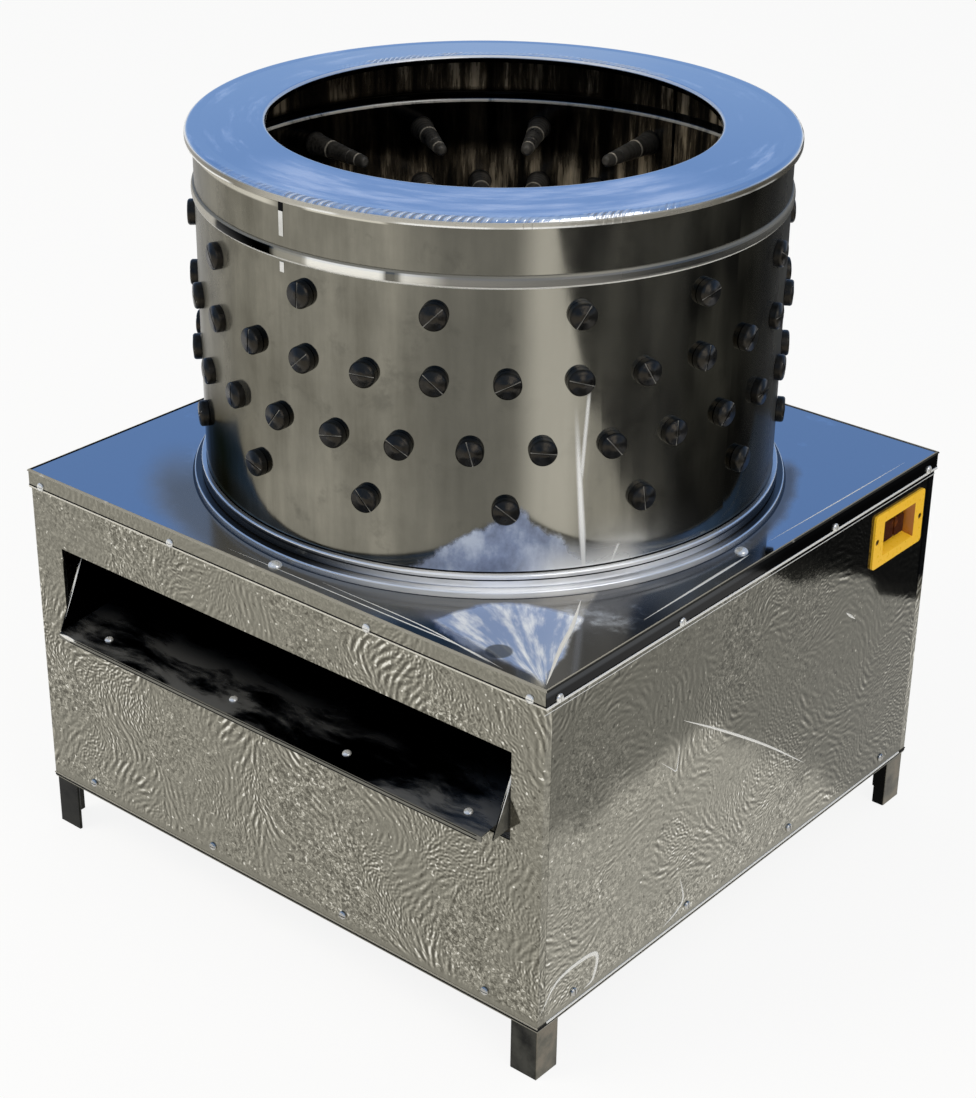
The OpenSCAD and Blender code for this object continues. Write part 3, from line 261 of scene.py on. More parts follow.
# The switch side has painted light below a line of height against depth, painted shade above it, and painted
# near-black shade at its rear corner
LIT_TOP = 0.262
LIT_SLOPE = -0.76
LIT_MIDDLE = 0.21
LIT_RAGGED = 0.07
CORNER_X = (PANEL_HIGH.x - 0.004, PANEL_HIGH.x - 0.002)
CORNER_Y = (PANEL_BACK - 0.014, PANEL_BACK - 0.011)
CORNER_Z = (0.255, 0.27)
PLAIN_EDGE = (PANEL_LOW.z + 0.008, PANEL_LOW.z + 0.015, 0.15, 1.0)
MIDDLE_TONE = 0.47


def strokes(g, scale, frequency, stretch, turn):
    """Short strokes on an upright sheet, drawn out across the way they are turned."""
    x, y, z = g.axes()
    place = g.add("CombineXYZ", {0: g.plus(x, y), 1: z}).outputs[0]
    values = {"Vector": place, "Scale": scale, "Frequency": frequency,
              "Anisotropy": stretch, "Orientation": turn}
    return g.add("TexGabor", values).outputs["Value"]


def wavy_tone(g, weight=1.0, lean=0.0):
    """Painted reflection pattern of a thin polished sheet: patches of curled strokes among broken specks,
    pits and a few painted glints.
    """
    turn = g.span(g.noise(8.0, 2.0), 0.3, 0.7, lean - TURN_MOST, lean + TURN_MOST, smooth=False)
    zones = g.noise(9.0, 2.0)
    long = strokes(g, 82.0, 1.6, 1.0, turn)
    short = strokes(g, 190.0, 1.25, 0.6, turn)
    share = g.span(g.noise(13.0, 1.0), 0.42, 0.58, 0.25, 0.8)
    curled = g.add("Mix", {0: share, 2: long, 3: short}).outputs[0]
    curled = g.scaled(g.minus(curled, 0.5), 1.15, 0.5)
    specks = g.noise(270.0, 3.0, 0.62, distortion=0.9)
    specks = g.scaled(g.minus(specks, 0.5), 1.05, 0.5)
    mixed = g.add("Mix", {0: g.span(zones, 0.43, 0.56, 0.15, 0.85), 2: curled, 3: specks}).outputs[0]
    contrast = g.span(g.noise(7.0, 3.0), 0.34, 0.62, 0.6 * weight, 1.75 * weight)
    tone = g.scaled(g.minus(mixed, 0.5), contrast, 0.5)
    # painted glints
    glints = g.times(g.span(g.noise(260.0, 0.0), 0.75, 0.84), 0.26 * weight)
    pits = g.times(g.span(g.noise(230.0, 0.0), 0.18, 0.26, 1.0, 0.0), 0.18 * weight)
    return g.minus(g.plus(tone, glints), pits)


def wavy_steel(name, lit_side=False, mirror=1.0):
    """Thin polished sheet with a painted reflection pattern. On the lit side the part below a crease has
    painted light and the part above painted shade, and a strip at the switch side's rear top corner is
    painted near black as shade.
    """
    g = Graph(name, Metallic=mirror)
    x, y, z = g.axes()
    waves = wavy_tone(g, 0.85, SIDE_LEAN) if lit_side else wavy_tone(g)
    pattern = g.scaled(g.minus(waves, MIDDLE_TONE), g.span(z, *PLAIN_EDGE), MIDDLE_TONE)
    tone = g.ramp(pattern, SHEET_TONES)
    # painted light below the crease line, painted shade above it
    if lit_side:
        crease = g.least(g.scaled(y, LIT_SLOPE, LIT_MIDDLE), LIT_TOP)
        edge = g.minus(g.plus(z, g.times(g.noise(11.0, 4.0), LIT_RAGGED)), LIT_RAGGED / 2)
        shade = g.span(g.minus(edge, crease), -0.02, 0.02)
        tone = g.mix(shade, g.ramp(pattern, LIT_TONES), g.ramp(pattern, SHADE_TONES))
    # painted shade: a near-black strip at the switch side's rear top corner
    painted_corner_shade = g.times(g.span(x, *CORNER_X), g.span(y, *CORNER_Y))
    g.set("Base Color", g.mix(g.times(painted_corner_shade, g.span(z, *CORNER_Z)), tone, srgb(12, 12, 12)))
    g.rough(g.noise(5.0, 3.0), 0.05, 0.1)
    g.bump(pattern, 0.04, 0.0005)
    return g.material


# Lengths of the drum's bead painted with bright and dark reflections, as an angle's share of the reach and a
# tone
BEAD_REACH = (-120.0, 60.0)
BEAD_TONES = [(0.045, srgb(176, 172, 162)), (0.055, srgb(8, 8, 7)), (0.15, srgb(8, 8, 7)),
              (0.158, srgb(140, 137, 126)), (0.194, srgb(150, 147, 136)), (0.2, srgb(240, 238, 230)),
              (0.28, srgb(240, 238, 230)), (0.285, srgb(104, 102, 94)), (0.296, srgb(104, 102, 94)),
              (0.302, srgb(220, 218, 210)), (0.325, srgb(196, 193, 184)), (0.345, srgb(128, 126, 120)),
              (0.6, srgb(92, 91, 87)), (0.8, srgb(120, 119, 114))]
BEAD_LINES = (BEAD_Z, 0.0036, 0.0008)
BEAD_WHOLE = (BEAD_Z, 0.0056, 0.0008)
BEAD_SPLIT = (BEAD_Z - 0.001, BEAD_Z + 0.001)
ABOVE_BEAD = (BEAD_Z + 0.004, BEAD_Z + 0.012)
DRUM_TONES = [(0.32, srgb(98, 95, 85)), (0.5, srgb(122, 119, 108)), (0.68, srgb(144, 140, 127))]
# Tones of the painted reflection of the lid's pale fan
PALE_TONES = [(0.34, srgb(122, 132, 154)), (0.5, srgb(148, 160, 186)), (0.7, srgb(198, 207, 222))]
# Tones of the painted reflection streaks inside the drum
INNER_REFLECTION_TONES = [(0.4, srgb(60, 57, 52)), (0.54, srgb(112, 101, 84)), (0.68, srgb(220, 203, 174))]
# Marks on the drum, most of them painted light, shade and reflections: degrees round it or rises over the
# lid, as a reach with its two values or as a band
# Painted dark reflection across the drum's front
DARK_REFLECTION_ANGLE = -52.0
DARK_REFLECTION_REACH = (3.0, 20.0, 0.65, 0.0)
# Painted dark reflection on the drum's left
LEFT_DARK = (-140.0, -114.0, 0.1, 0.0)
LEFT_FOOT = (-112.0, -92.0, 0.6, 0.0)
LEFT_FOOT_RISE = (0.06, 0.17, 1.0, 0.0)
LEFT_FADE = (-178.0, -150.0)
BACK_FADE = (120.0, 175.0, 1.0, 0.0)
# Painted dark reflection on the drum's right, beside the dark card's own reflection
RIGHT_GREY = (-8.0, 14.0, 0.0, 0.7)
RIGHT_DARK = (22.0, 44.0, 0.0, 0.8)
# Painted pale reflection low on the drum's right
LOW_RIGHT = (-20.0, 8.0, 9.0)
LOW_RIGHT_RISE = (0.02, 0.075, 0.5, 0.0)
# Painted reflection of the lid's pale fan in the drum, under two lines of height against angle
PALE_LEFT = (0.00283, 0.2074)
PALE_RIGHT = (-0.0044, -0.1154)
PALE_EDGE = (-0.003, 0.006)
# Painted highlight: a bright upright streak with a twin and a short second one, a sheen beside it and a glow
# at its foot; the foot ring's front highlight follows its angle
HIGHLIGHT_ANGLE = -33.2
HIGHLIGHT_SHEEN = (HIGHLIGHT_ANGLE - 6, 2.0, 6.0)
HIGHLIGHT_GLOW = (HIGHLIGHT_ANGLE + 2, 4.0, 13.0)
HIGHLIGHT_GLOW_RISE = (0.018, 0.05, 0.9, 0.0)
HIGHLIGHT_LINE = (-16.0, -32.3)
HIGHLIGHT_WIDTH = (0.02, 0.17, 0.4, 0.1)
HIGHLIGHT_EDGE = (-0.15, 0.5, 1.0, 0.0)
HIGHLIGHT_TOP = (0.1, 0.18, 1.0, 0.0)
TWIN_LINE = (12.5, -35.0)
TWIN_HIGHLIGHT = (0.0, 0.1, 0.4)
TWIN_RISE = (0.145, 0.03, 0.02)
SECOND_LINE = (79.0, -28.8)
SECOND_HIGHLIGHT = (0.0, 0.15, 0.25)
SECOND_RISE = (0.026, 0.009, 0.005)
# Painted highlights: gleams just under the rim
GLEAM = (RIM_LOW.z - 0.0062, 0.0012, 0.002)
GLEAM_ANGLES = (-107.0, 12.0, 5.0)
THIN_GLEAM = (RIM_LOW.z - 0.003, 0.0008, 0.001)
THIN_GLEAM_ANGLES = (-77.0, 7.0, 2.0)
FOOT_JOINT = (FOOT_HIGH.z + 0.0006, 0.0008, 0.0004)
# Painted light inside the drum, by angle and height; elsewhere the inside is painted dark as shade
LIT_INSIDE = (84.0, 122.0, 1.0, 0.12)
LIT_INSIDE_RISE = (0.205, 0.25, 1.0, 0.0)
LIT_TOP_INSIDE = (138.0, 10.0, 12.0)
INNER_SEAM = (88.2, 0.3, 0.2)
# Painted highlight along the inner bead's lower edge
INNER_LINE = (BEAD_Z - 0.0045, 0.0009, 0.0008)
HAZE = (-23.0, 5.0, 7.0)
RIGHT_HAZE = (2.0, 28.0, 0.0, 6.5)
LEFT_HAZE = (-114.0, -96.0, 6.0, 0.0)
LEFT_HAZE_RISE = (0.07, 0.15)
HAZE_SHARE = 0.09


def drum_steel(name):
    """Rolled sheet: smeared, with painted highlights, painted dark reflections, a painted reflection of the
    lid's pale fan, a bead painted in bright and dark lengths of reflection, and painted light, shade and
    reflection streaks inside.
    """
    g = Graph(name, Specular_Tint=EDGE_TINT)
    x, y, z = g.axes()
    angle = g.angle()
    unrolled = g.round_place()
    rise = g.minus(z, LID_TOP)

    def off_line(line):
        """Degrees from a mark that leans as it rises."""
        return g.minus(angle, g.scaled(rise, *line))

    streaks = g.noise(1.0, 4.0, 0.6, g.vector("MULTIPLY", unrolled, (38, 1, 5)))
    smears = g.noise(9.0, 6.0, 0.62)
    tone = g.plus(g.times(streaks, 0.5), g.times(smears, 0.5))
    left = g.times(g.span(angle, *LEFT_FOOT), g.span(rise, *LEFT_FOOT_RISE))
    left = g.most(g.span(angle, *LEFT_DARK), left)
    to_back = g.span(angle, *BACK_FADE)
    # Outside: the smeared tone, random darker smudges, painted dark reflections at the front, left and
    # right, a painted highlight sheen and a painted pale reflection low on the right
    outside = g.coats(
        g.ramp(tone, DRUM_TONES),
        (g.span(g.noise(26.0, 5.0, 0.66, g.drifted(7.0, 0.06)), 0.53, 0.7, 0.0, 0.45), srgb(88, 86, 78)),
        (g.span(g.away(angle, DARK_REFLECTION_ANGLE), *DARK_REFLECTION_REACH), srgb(78, 77, 71)),
        (g.times(left, g.span(angle, *LEFT_FADE)), srgb(66, 63, 55)),
        (g.times(g.span(angle, *RIGHT_GREY), to_back), srgb(66, 67, 68)),
        (g.times(g.span(angle, *RIGHT_DARK), to_back), srgb(40, 39, 37)),
        (g.times(g.band(angle, *HIGHLIGHT_SHEEN), 0.6), srgb(182, 178, 164)),
        (g.times(g.band(angle, *LOW_RIGHT), g.span(rise, *LOW_RIGHT_RISE)), srgb(170, 170, 168)))
    cloud = g.noise(1.0, 5.0, 0.62, g.vector("MULTIPLY", unrolled, (46, 1, 34)))
    drift = g.times(g.minus(cloud, 0.5), 0.03)
    under = g.least(g.scaled(angle, *PALE_LEFT), g.scaled(angle, *PALE_RIGHT))
    pale = g.span(g.plus(g.minus(under, rise), drift), *PALE_EDGE)
    # painted highlights: the glow, the streak, its twin and the second one
    glow = g.times(g.band(angle, *HIGHLIGHT_GLOW), g.span(rise, *HIGHLIGHT_GLOW_RISE))
    width = g.span(rise, *HIGHLIGHT_WIDTH, smooth=False)
    highlight_streak = g.span(g.minus(g.away(off_line(HIGHLIGHT_LINE), 0.0), width), *HIGHLIGHT_EDGE)
    highlight_streak = g.times(highlight_streak, g.span(rise, *HIGHLIGHT_TOP))
    twin = g.times(g.band(off_line(TWIN_LINE), *TWIN_HIGHLIGHT), g.band(rise, *TWIN_RISE))
    highlight_streak = g.most(highlight_streak, g.times(twin, 0.75))
    second = g.times(g.band(off_line(SECOND_LINE), *SECOND_HIGHLIGHT), g.band(rise, *SECOND_RISE))
    bright = g.most(g.most(highlight_streak, second), glow)
    gleam = g.times(g.band(z, *GLEAM), g.band(angle, *GLEAM_ANGLES))
    gleam = g.most(gleam, g.times(g.band(z, *THIN_GLEAM), g.band(angle, *THIN_GLEAM_ANGLES)))
    lengths = g.ramp(g.span(angle, *BEAD_REACH, smooth=False), BEAD_TONES)
    bead = g.band(z, *BEAD_WHOLE)
    # painted highlight along the bead's lower edge, darker upper edge
    bead_edges = g.mix(g.span(z, *BEAD_SPLIT), srgb(240, 238, 231), srgb(122, 119, 109))
    bead_tone = g.mix(g.band(z, *BEAD_LINES), bead_edges, lengths)
    # Over that: the painted pale reflection of the lid's fan, painted highlights and gleams, the bead and a
    # dark joint
    outside = g.coats(
        outside,
        (g.times(pale, 0.92), g.ramp(cloud, PALE_TONES)),
        (bright, srgb(246, 246, 243)),
        (g.times(gleam, 0.7), srgb(226, 221, 206)),
        (bead, bead_tone),
        (g.band(z, *FOOT_JOINT), srgb(18, 18, 18)))
    outward = g.plus(g.times(x, g.facing(0)), g.times(y, g.facing(1)))
    within = g.span(outward, -0.03, -0.01, 1.0, 0.0)
    reflection_streaks = g.noise(1.0, 5.0, 0.65, g.vector("MULTIPLY", unrolled, (60, 1, 7)))
    seen = g.math("WRAP", angle, 360.0, 0.0)
    lit = g.most(g.span(seen, *LIT_INSIDE), g.span(rise, *LIT_INSIDE_RISE))
    top_lit = g.times(g.band(seen, *LIT_TOP_INSIDE), g.span(z, *ABOVE_BEAD))
    top_lit = g.most(top_lit, g.span(z, *ABOVE_BEAD, 0.0, 0.7))
    lit = g.most(lit, g.times(top_lit, 0.8))
    inner_line = g.times(g.band(z, *INNER_LINE), g.span(reflection_streaks, 0.3, 0.55, 0.5, 1.0))
    # Inside: painted reflection streaks where painted lit, painted shade elsewhere and darker on the bead, a
    # dark seam and a painted highlight line
    inside = g.coats(
        g.mix(lit, srgb(20, 19, 18), g.ramp(reflection_streaks, INNER_REFLECTION_TONES)),
        (bead, srgb(30, 29, 27)),
        (g.band(angle, *INNER_SEAM), srgb(6, 6, 6)),
        (inner_line, srgb(214, 211, 202)))
    g.set("Base Color", g.mix(within, outside, inside))
    painted_lit = g.times(g.times(lit, g.span(reflection_streaks, 0.42, 0.66, 0.15, 0.75)), within)
    painted_lit = g.most(painted_lit, g.times(g.times(inner_line, within), 0.8))
    pale_bead = g.span(g.add("RGBToBW", {0: bead_tone}).outputs[0], 0.05, 0.2)
    # Less metallic where the bead, highlights and pale reflection are painted, and in hazy reaches
    wear_and_painted_light = g.most(g.times(bead, pale_bead), g.most(bright, pale))
    hazy = g.most(g.band(angle, *HAZE), g.span(angle, *RIGHT_HAZE))
    hazy = g.most(hazy, g.times(g.span(angle, *LEFT_HAZE), g.span(rise, *LEFT_HAZE_RISE)))
    wear_and_painted_light = g.most(g.times(wear_and_painted_light, 0.65), g.times(g.times(hazy, HAZE_SHARE), to_back))
    matt = g.most(painted_lit, g.times(wear_and_painted_light, g.minus(1.0, within)))
    g.set("Metallic", g.minus(1.0, matt))
    g.set("Roughness", g.scaled(matt, 0.4, g.span(smears, 0.3, 0.7, 0.05, 0.12)))
    g.bump(g.noise(4.0, 1.0), 0.12, 0.004)
    return g.material


# Marks on the lid, painted reflections and shade: the painted sky-reflection fan's two sides, as a point and
# a way, its arch round the drum, and painted shaded reaches
FAN_RIGHT = ((0.2746, -0.2137), (0.914, 0.405), 0.003)
FAN_FRONT = ((0.238, -0.293), (-0.16, -0.987), 0.004)
FAN_ANGLE = -47.0
FAN_ARCH = 0.00026
FAN_FOOT = (FOOT_R + 0.005, FOOT_R + 0.014)
FAN_SHADE = (-36.0, 8.0, 10.0)
# Painted dark reflection of the drum on the lid round its foot
DRUM_REFLECTION_REACH = (FOOT_R + 0.02, FOOT_R + 0.06, 0.9, 0.0)
DRUM_REFLECTION_ANGLES = (-80.0, 45.0, 25.0)
SIDE_SHADE_Y = (-0.06, 0.01, 0.8, 0.0)
SIDE_SHADE_X = (0.2, 0.27)
DRUM_SHADE = (FOOT_R + 0.004, FOOT_R + 0.018, 0.8, 0.0)
DRUM_SHADE_ANGLES = (10.0, 26.0, 8.0)
# Painted reflection of a finger head on the lid
HEAD_REFLECTION_PLACE = (0.2498, -0.2861, LID_TOP)
HEAD_REFLECTION_R = 0.0115
HEAD_REFLECTION_EDGE = (HEAD_REFLECTION_R - 0.001, HEAD_REFLECTION_R + 0.0015, 0.85, 0.0)
# Painted shadow line on the lid round the foot ring
RING_SHADOW_LINE = (FOOT_R + 0.0008, 0.0008, 0.0006)
SKIRT_FROM = (LID_TOP - 0.0018, LID_TOP - 0.001, 1.0, 0.0)
# The skirt's switch side is painted in shade: near black below, dark grey above
SKIRT_RIGHT = (LID_HIGH.x - 0.0012, LID_HIGH.x - 0.0004)
SKIRT_SPLIT = (SKIRT_MIDDLE - 0.001, SKIRT_MIDDLE + 0.002)


def lid_steel(name):
    """Mirror sheet with a painted dark reflection round the drum's front, painted shade, a painted pale
    sky-reflection fan at the front corner, and a plain skirt with painted shade on the switch side.
    """
    g = Graph(name)
    x, y, z = g.axes()
    angle = g.angle()
    drift = g.times(g.minus(g.noise(16.0, 4.0, 0.6), 0.5), 0.024)

    def beyond(point, way, soft):
        """How far a place lies past a line through a point, as 1 before it and 0 after it."""
        ahead = g.scaled(x, way[0], -way[0] * point[0] - way[1] * point[1])
        ahead = g.plus(g.scaled(y, way[1], ahead), drift)
        return g.span(ahead, -soft, soft, 1.0, 0.0)

    def length_from(point):
        """The way from a point, and its length."""
        way = g.vector("SUBTRACT", g.place, point)
        return way, g.add("VectorMath", {0: way}, operation="LENGTH").outputs["Value"]

    # painted reflection of the sky: a pale fan with wisps at the front corner
    inside_right = beyond(*FAN_RIGHT)
    fan = g.times(inside_right, beyond(*FAN_FRONT))
    aside = g.minus(angle, FAN_ANGLE)
    near_drum = g.plus(g.radius(), drift)
    past_arch = g.minus(near_drum, g.times(g.times(aside, aside), FAN_ARCH))
    fan = g.times(fan, g.span(past_arch, *FAN_FOOT))
    corner_shade = g.times(g.minus(1.0, inside_right), g.band(angle, *FAN_SHADE))
    from_corner, reach = length_from((LID_HIGH.x, LID_LOW.y, LID_TOP))
    cx, cy, _ = g.add("SeparateXYZ", {0: from_corner}).outputs
    spread = g.times(g.math("ARCTAN2", cy, cx), 7.0)
    rays = g.add("CombineXYZ", {0: spread, 1: g.times(reach, 14.0)}).outputs[0]
    wisps = g.span(g.noise(1.0, 5.0, 0.62, rays), 0.43, 0.66)
    drum_reflection = g.times(g.span(near_drum, *DRUM_REFLECTION_REACH), g.band(angle, *DRUM_REFLECTION_ANGLES))
    side = g.times(g.span(y, *SIDE_SHADE_Y), g.span(x, *SIDE_SHADE_X))
    shadow = g.times(g.span(near_drum, *DRUM_SHADE), g.band(angle, *DRUM_SHADE_ANGLES))
    smudged = g.times(g.span(g.noise(14.0, 6.0, 0.7), 0.6, 0.78), 0.4)
    # Lid top: painted dark reflection of the drum, painted shade to the side, round the drum and at the
    # corner, random smudges, the painted sky fan, a painted reflection of a finger head and a painted shadow
    # line round the ring
    top = g.coats(
        srgb(184, 186, 189),
        (g.most(drum_reflection, side), srgb(116, 112, 102)),
        (shadow, srgb(66, 66, 66)),
        (g.times(corner_shade, 0.9), srgb(54, 56, 60)),
        (smudged, srgb(222, 230, 240)),
        (fan, g.mix(wisps, srgb(138, 158, 196), srgb(240, 244, 249))),
        (g.span(length_from(HEAD_REFLECTION_PLACE)[1], *HEAD_REFLECTION_EDGE), srgb(78, 81, 82)),
        (g.band(g.radius(), *RING_SHADOW_LINE), srgb(16, 16, 16)))
    skirt = g.span(z, *SKIRT_FROM)
    # painted shade on the switch-side skirt
    side_tone = g.mix(g.span(z, *SKIRT_SPLIT), srgb(9, 9, 9), srgb(54, 56, 58))
    plain = g.mix(g.span(x, *SKIRT_RIGHT), g.ramp(wavy_tone(g, 0.35), SHEET_TONES), side_tone)
    g.set("Base Color", g.mix(skirt, top, plain))
    # Less metallic where the fan's reflection and the shade are painted
    wear_and_painted_light = g.most(g.times(fan, 0.85), g.times(side, 0.25))
    wear_and_painted_light = g.most(wear_and_painted_light, g.most(g.times(shadow, 0.6), g.times(drum_reflection, 0.4)))
    g.set("Metallic", g.minus(1.0, g.times(wear_and_painted_light, g.minus(1.0, skirt))))
    g.set("Roughness", g.scaled(wear_and_painted_light, 0.3, 0.05))
    g.bump(g.noise(5.0, 1.0), 0.12, 0.003)
    return g.material


# Marks on the rim: crimps along two edges with painted shade in their dents, a pale haze, the mouth's hem
# with painted shade down its flange, and the rolled edge with painted highlights
CRIMP_STEP = 1.6
CRIMP_SLANT = 900.0
CRIMP_FRONT = (DRUM_R + 0.0042, 0.0018, 0.002)
CRIMP_FRONT_ANGLES = (-62.0, 34.0, 14.0)
CRIMP_BACK = (MOUTH_R + 0.007, 0.004, 0.003)
CRIMP_BACK_ANGLES = (126.0, 36.0, 14.0)
RIM_HAZE = (0.247, 0.026, 0.012)
RIM_HAZE_ANGLES = (-55.0, 36.0, 20.0)
MOUTH_HEM = (MOUTH_R + 0.0006, 0.0011, 0.0008)
MOUTH_HEM_ANGLE = 126.0
MOUTH_HEM_FADE = (25.0, 60.0, 0.9, 0.5)
BELOW_TOP = (RIM_HIGH.z - 0.003, RIM_HIGH.z - 0.0018, 1.0, 0.0)
MOUTH_FLANGE = (MOUTH_R + 0.004, MOUTH_R + 0.008, 1.0, 0.0)
ROLLED_Z = (ROLL_Z, ROLL_Z + 0.002, 1.0, 0.0)
ROLLED_R = (0.27, 0.274)
ROLL_LIP = (RIM_LOW.z + 0.001, RIM_LOW.z + 0.002, 1.0, 0.0)
ROLL_FRONT = (-52.0, 36.0, 16.0)


def rim_steel(name):
    """Mirror ring with crimps along its front edge and the back of its mouth, drawn with painted shade in
    the dents and painted highlights between, pale streaks, painted shade down the mouth's flange and painted
    highlights on the rolled edge.
    """
    g = Graph(name)
    z = g.axes()[2]
    radius = g.radius()
    angle = g.angle()
    unrolled = g.round_place()
    slant = g.times(g.minus(radius, DRUM_R), CRIMP_SLANT)
    along = g.scaled(angle, 360 / CRIMP_STEP * math.pi / 180, slant)
    wave = g.math("SINE", g.plus(along, g.times(g.noise(26.0, 2.0), 9.0)))
    broken = g.span(g.noise(34.0, 1.0), 0.4, 0.56, 0.15, 1.0)
    front = g.times(g.band(radius, *CRIMP_FRONT), g.band(angle, *CRIMP_FRONT_ANGLES))
    back = g.times(g.band(radius, *CRIMP_BACK), g.band(angle, *CRIMP_BACK_ANGLES))
    edges = g.times(g.most(front, back), broken)
    marks = g.times(edges, g.span(wave, 0.1, 0.7))
    dents = g.times(edges, g.span(wave, -0.8, -0.2, 1.0, 0.0))
    paler_streaks = g.noise(1.0, 5.0, 0.65, g.vector("MULTIPLY", unrolled, (9, 60, 30)))
    haze = g.times(g.band(radius, *RIM_HAZE), g.band(angle, *RIM_HAZE_ANGLES))
    haze = g.times(haze, g.span(paler_streaks, 0.36, 0.64, 0.25, 0.9))
    wisps = g.most(g.span(paler_streaks, 0.54, 0.76, 0.0, 0.8), haze)
    hem = g.times(g.band(radius, *MOUTH_HEM), g.span(g.away(angle, MOUTH_HEM_ANGLE), *MOUTH_HEM_FADE))
    flange = g.times(g.span(z, *BELOW_TOP), g.span(radius, *MOUTH_FLANGE))
    # painted shade in the crimps' dents, painted highlights between them, painted shade down the mouth's
    # flange
    top = g.coats(
        srgb(212, 214, 216),
        (wisps, srgb(236, 240, 246)),
        (g.times(dents, 0.65), srgb(66, 74, 90)),
        (g.times(marks, 0.5), srgb(216, 217, 218)),
        (hem, srgb(226, 225, 222)),
        (flange, srgb(34, 33, 32)))
    hem = g.times(hem, g.minus(1.0, flange))
    # Rolled edge: lighter at the front, with painted highlights along its lower lip
    rolled = g.times(g.span(z, *ROLLED_Z), g.span(radius, *ROLLED_R))
    gleams = g.span(g.noise(1.0, 2.0, 0.5, g.vector("MULTIPLY", unrolled, (14, 1, 1))), 0.42, 0.56)
    edge = g.mix(g.band(angle, *ROLL_FRONT), srgb(112, 107, 94), srgb(176, 172, 161))
    edge = g.mix(g.times(g.span(z, *ROLL_LIP), gleams), edge, srgb(240, 239, 234))
    g.set("Base Color", g.mix(rolled, top, edge))
    matt = g.most(g.times(rolled, 0.4), g.times(hem, 0.6))
    matt = g.most(matt, g.times(g.most(marks, dents), 0.45))
    matt = g.most(matt, g.times(wisps, 0.3))
    g.set("Metallic", g.minus(1.0, matt))
    g.set("Roughness", g.scaled(matt, 0.5, g.span(paler_streaks, 0.3, 0.7, 0.05, 0.12)))
    g.bump(marks, 0.4, 0.001)
    return g.material


# Painted light on the foot ring: a highlight at the front, highlights along its edges and shade in its
# groove
FOOT_FRONT = (HIGHLIGHT_ANGLE - 6, 16.0, 34.0)
FOOT_UPPER = (FOOT_HIGH.z - 0.0026, FOOT_HIGH.z - 0.0014)
FOOT_LOWER = (FOOT_R, 0.0008, 0.0008)
FOOT_GROOVE = (FOOT_HIGH.z - 0.0045, 0.0005, 0.0004)


def foot_steel(name):
    """Ring round the drum's foot: a painted highlight at the front corner, painted dark reflection to both
    sides, painted highlights along its edges and painted shade in its groove.
    """
    g = Graph(name)
    z = g.axes()[2]
    soft = g.noise(1.0, 3.0, 0.5, g.vector("MULTIPLY", g.round_place(), (9, 60, 60)))
    front = g.times(g.band(g.angle(), *FOOT_FRONT), g.span(soft, 0.3, 0.6, 0.6, 1.0))
    edges = g.most(g.span(z, *FOOT_UPPER), g.band(g.radius(), *FOOT_LOWER))
    tone = g.coats(
        srgb(70, 70, 68),
        (front, srgb(250, 251, 252)),
        (g.times(edges, 0.7), srgb(246, 246, 244)),
        (g.band(z, *FOOT_GROOVE), srgb(24, 24, 24)))
    g.set("Base Color", tone)

    g.set("Metallic", g.span(front, 0.0, 1.0, 0.9, 0.3, smooth=False))
    g.rough(soft, 0.16, 0.26)
    g.bump(soft, 0.05, 0.001)
    return g.material


def plain_steel(name, dark, light, rough, grain=60.0):
    """Bare sheet or bar with a mild mottle."""
    g = Graph(name, Metallic=1.0)
    mottle = g.noise(grain, 5.0, 0.6)
    g.set("Base Color", g.ramp(mottle, [(0.3, dark), (0.7, light)]))
    g.rough(mottle, rough, rough + 0.14)
    g.bump(mottle, 0.12, 0.0006)
    return g.material


# Painted reflection: the chute floor paler towards its lip
CHUTE_PALE_REFLECTION = (CHUTE_LOW.y + 0.01, CHUTE_LOW.y + 0.09, 1.0, 0.0)
CHUTE_LIP = (CHUTE_LOW.y + 0.0002, CHUTE_LOW.y + 0.001, 1.0, 0.0)


def chute_steel(name):
    """Sheet painted black as shade within the chute, with a painted paler reflection towards its lip."""
    g = Graph(name)
    y = g.axes()[1]
    smears = g.noise(1.0, 4.0, 0.6, g.vector("MULTIPLY", g.drifted(6.0, 0.08), (9, 30, 30)))
    paler_streaks = g.times(g.span(y, *CHUTE_PALE_REFLECTION), g.span(smears, 0.36, 0.62))
    g.set("Metallic", g.span(paler_streaks, 0.0, 1.0, 1.0, 0.5))
    tone = g.mix(paler_streaks, srgb(20, 19, 17), srgb(112, 112, 110))
    g.set("Base Color", g.mix(g.span(y, *CHUTE_LIP), tone, srgb(112, 110, 101)))

    g.rough(smears, 0.16, 0.34)
    g.bump(smears, 0.15, 0.001)
    return g.material


def cheek_steel(name):
    """Chute sides: painted black shade on the faces within the chute, grey on the faces that look away from
    it.
    """
    g = Graph(name)
    mottle = g.noise(30.0, 4.0, 0.6)
    away = g.times(g.facing(0), g.math("SIGN", g.axes()[0]))
    grey = g.ramp(mottle, [(0.3, srgb(98, 97, 91)), (0.7, srgb(140, 138, 130))])
    outer = g.span(away, 0.2, 0.6)
    g.set("Base Color", g.mix(outer, srgb(20, 19, 17), grey))
    g.set("Metallic", g.span(outer, 0.0, 1.0, 1.0, 0.5))
    g.rough(mottle, 0.2, 0.34)
    g.bump(mottle, 0.1, 0.0006)
    return g.material


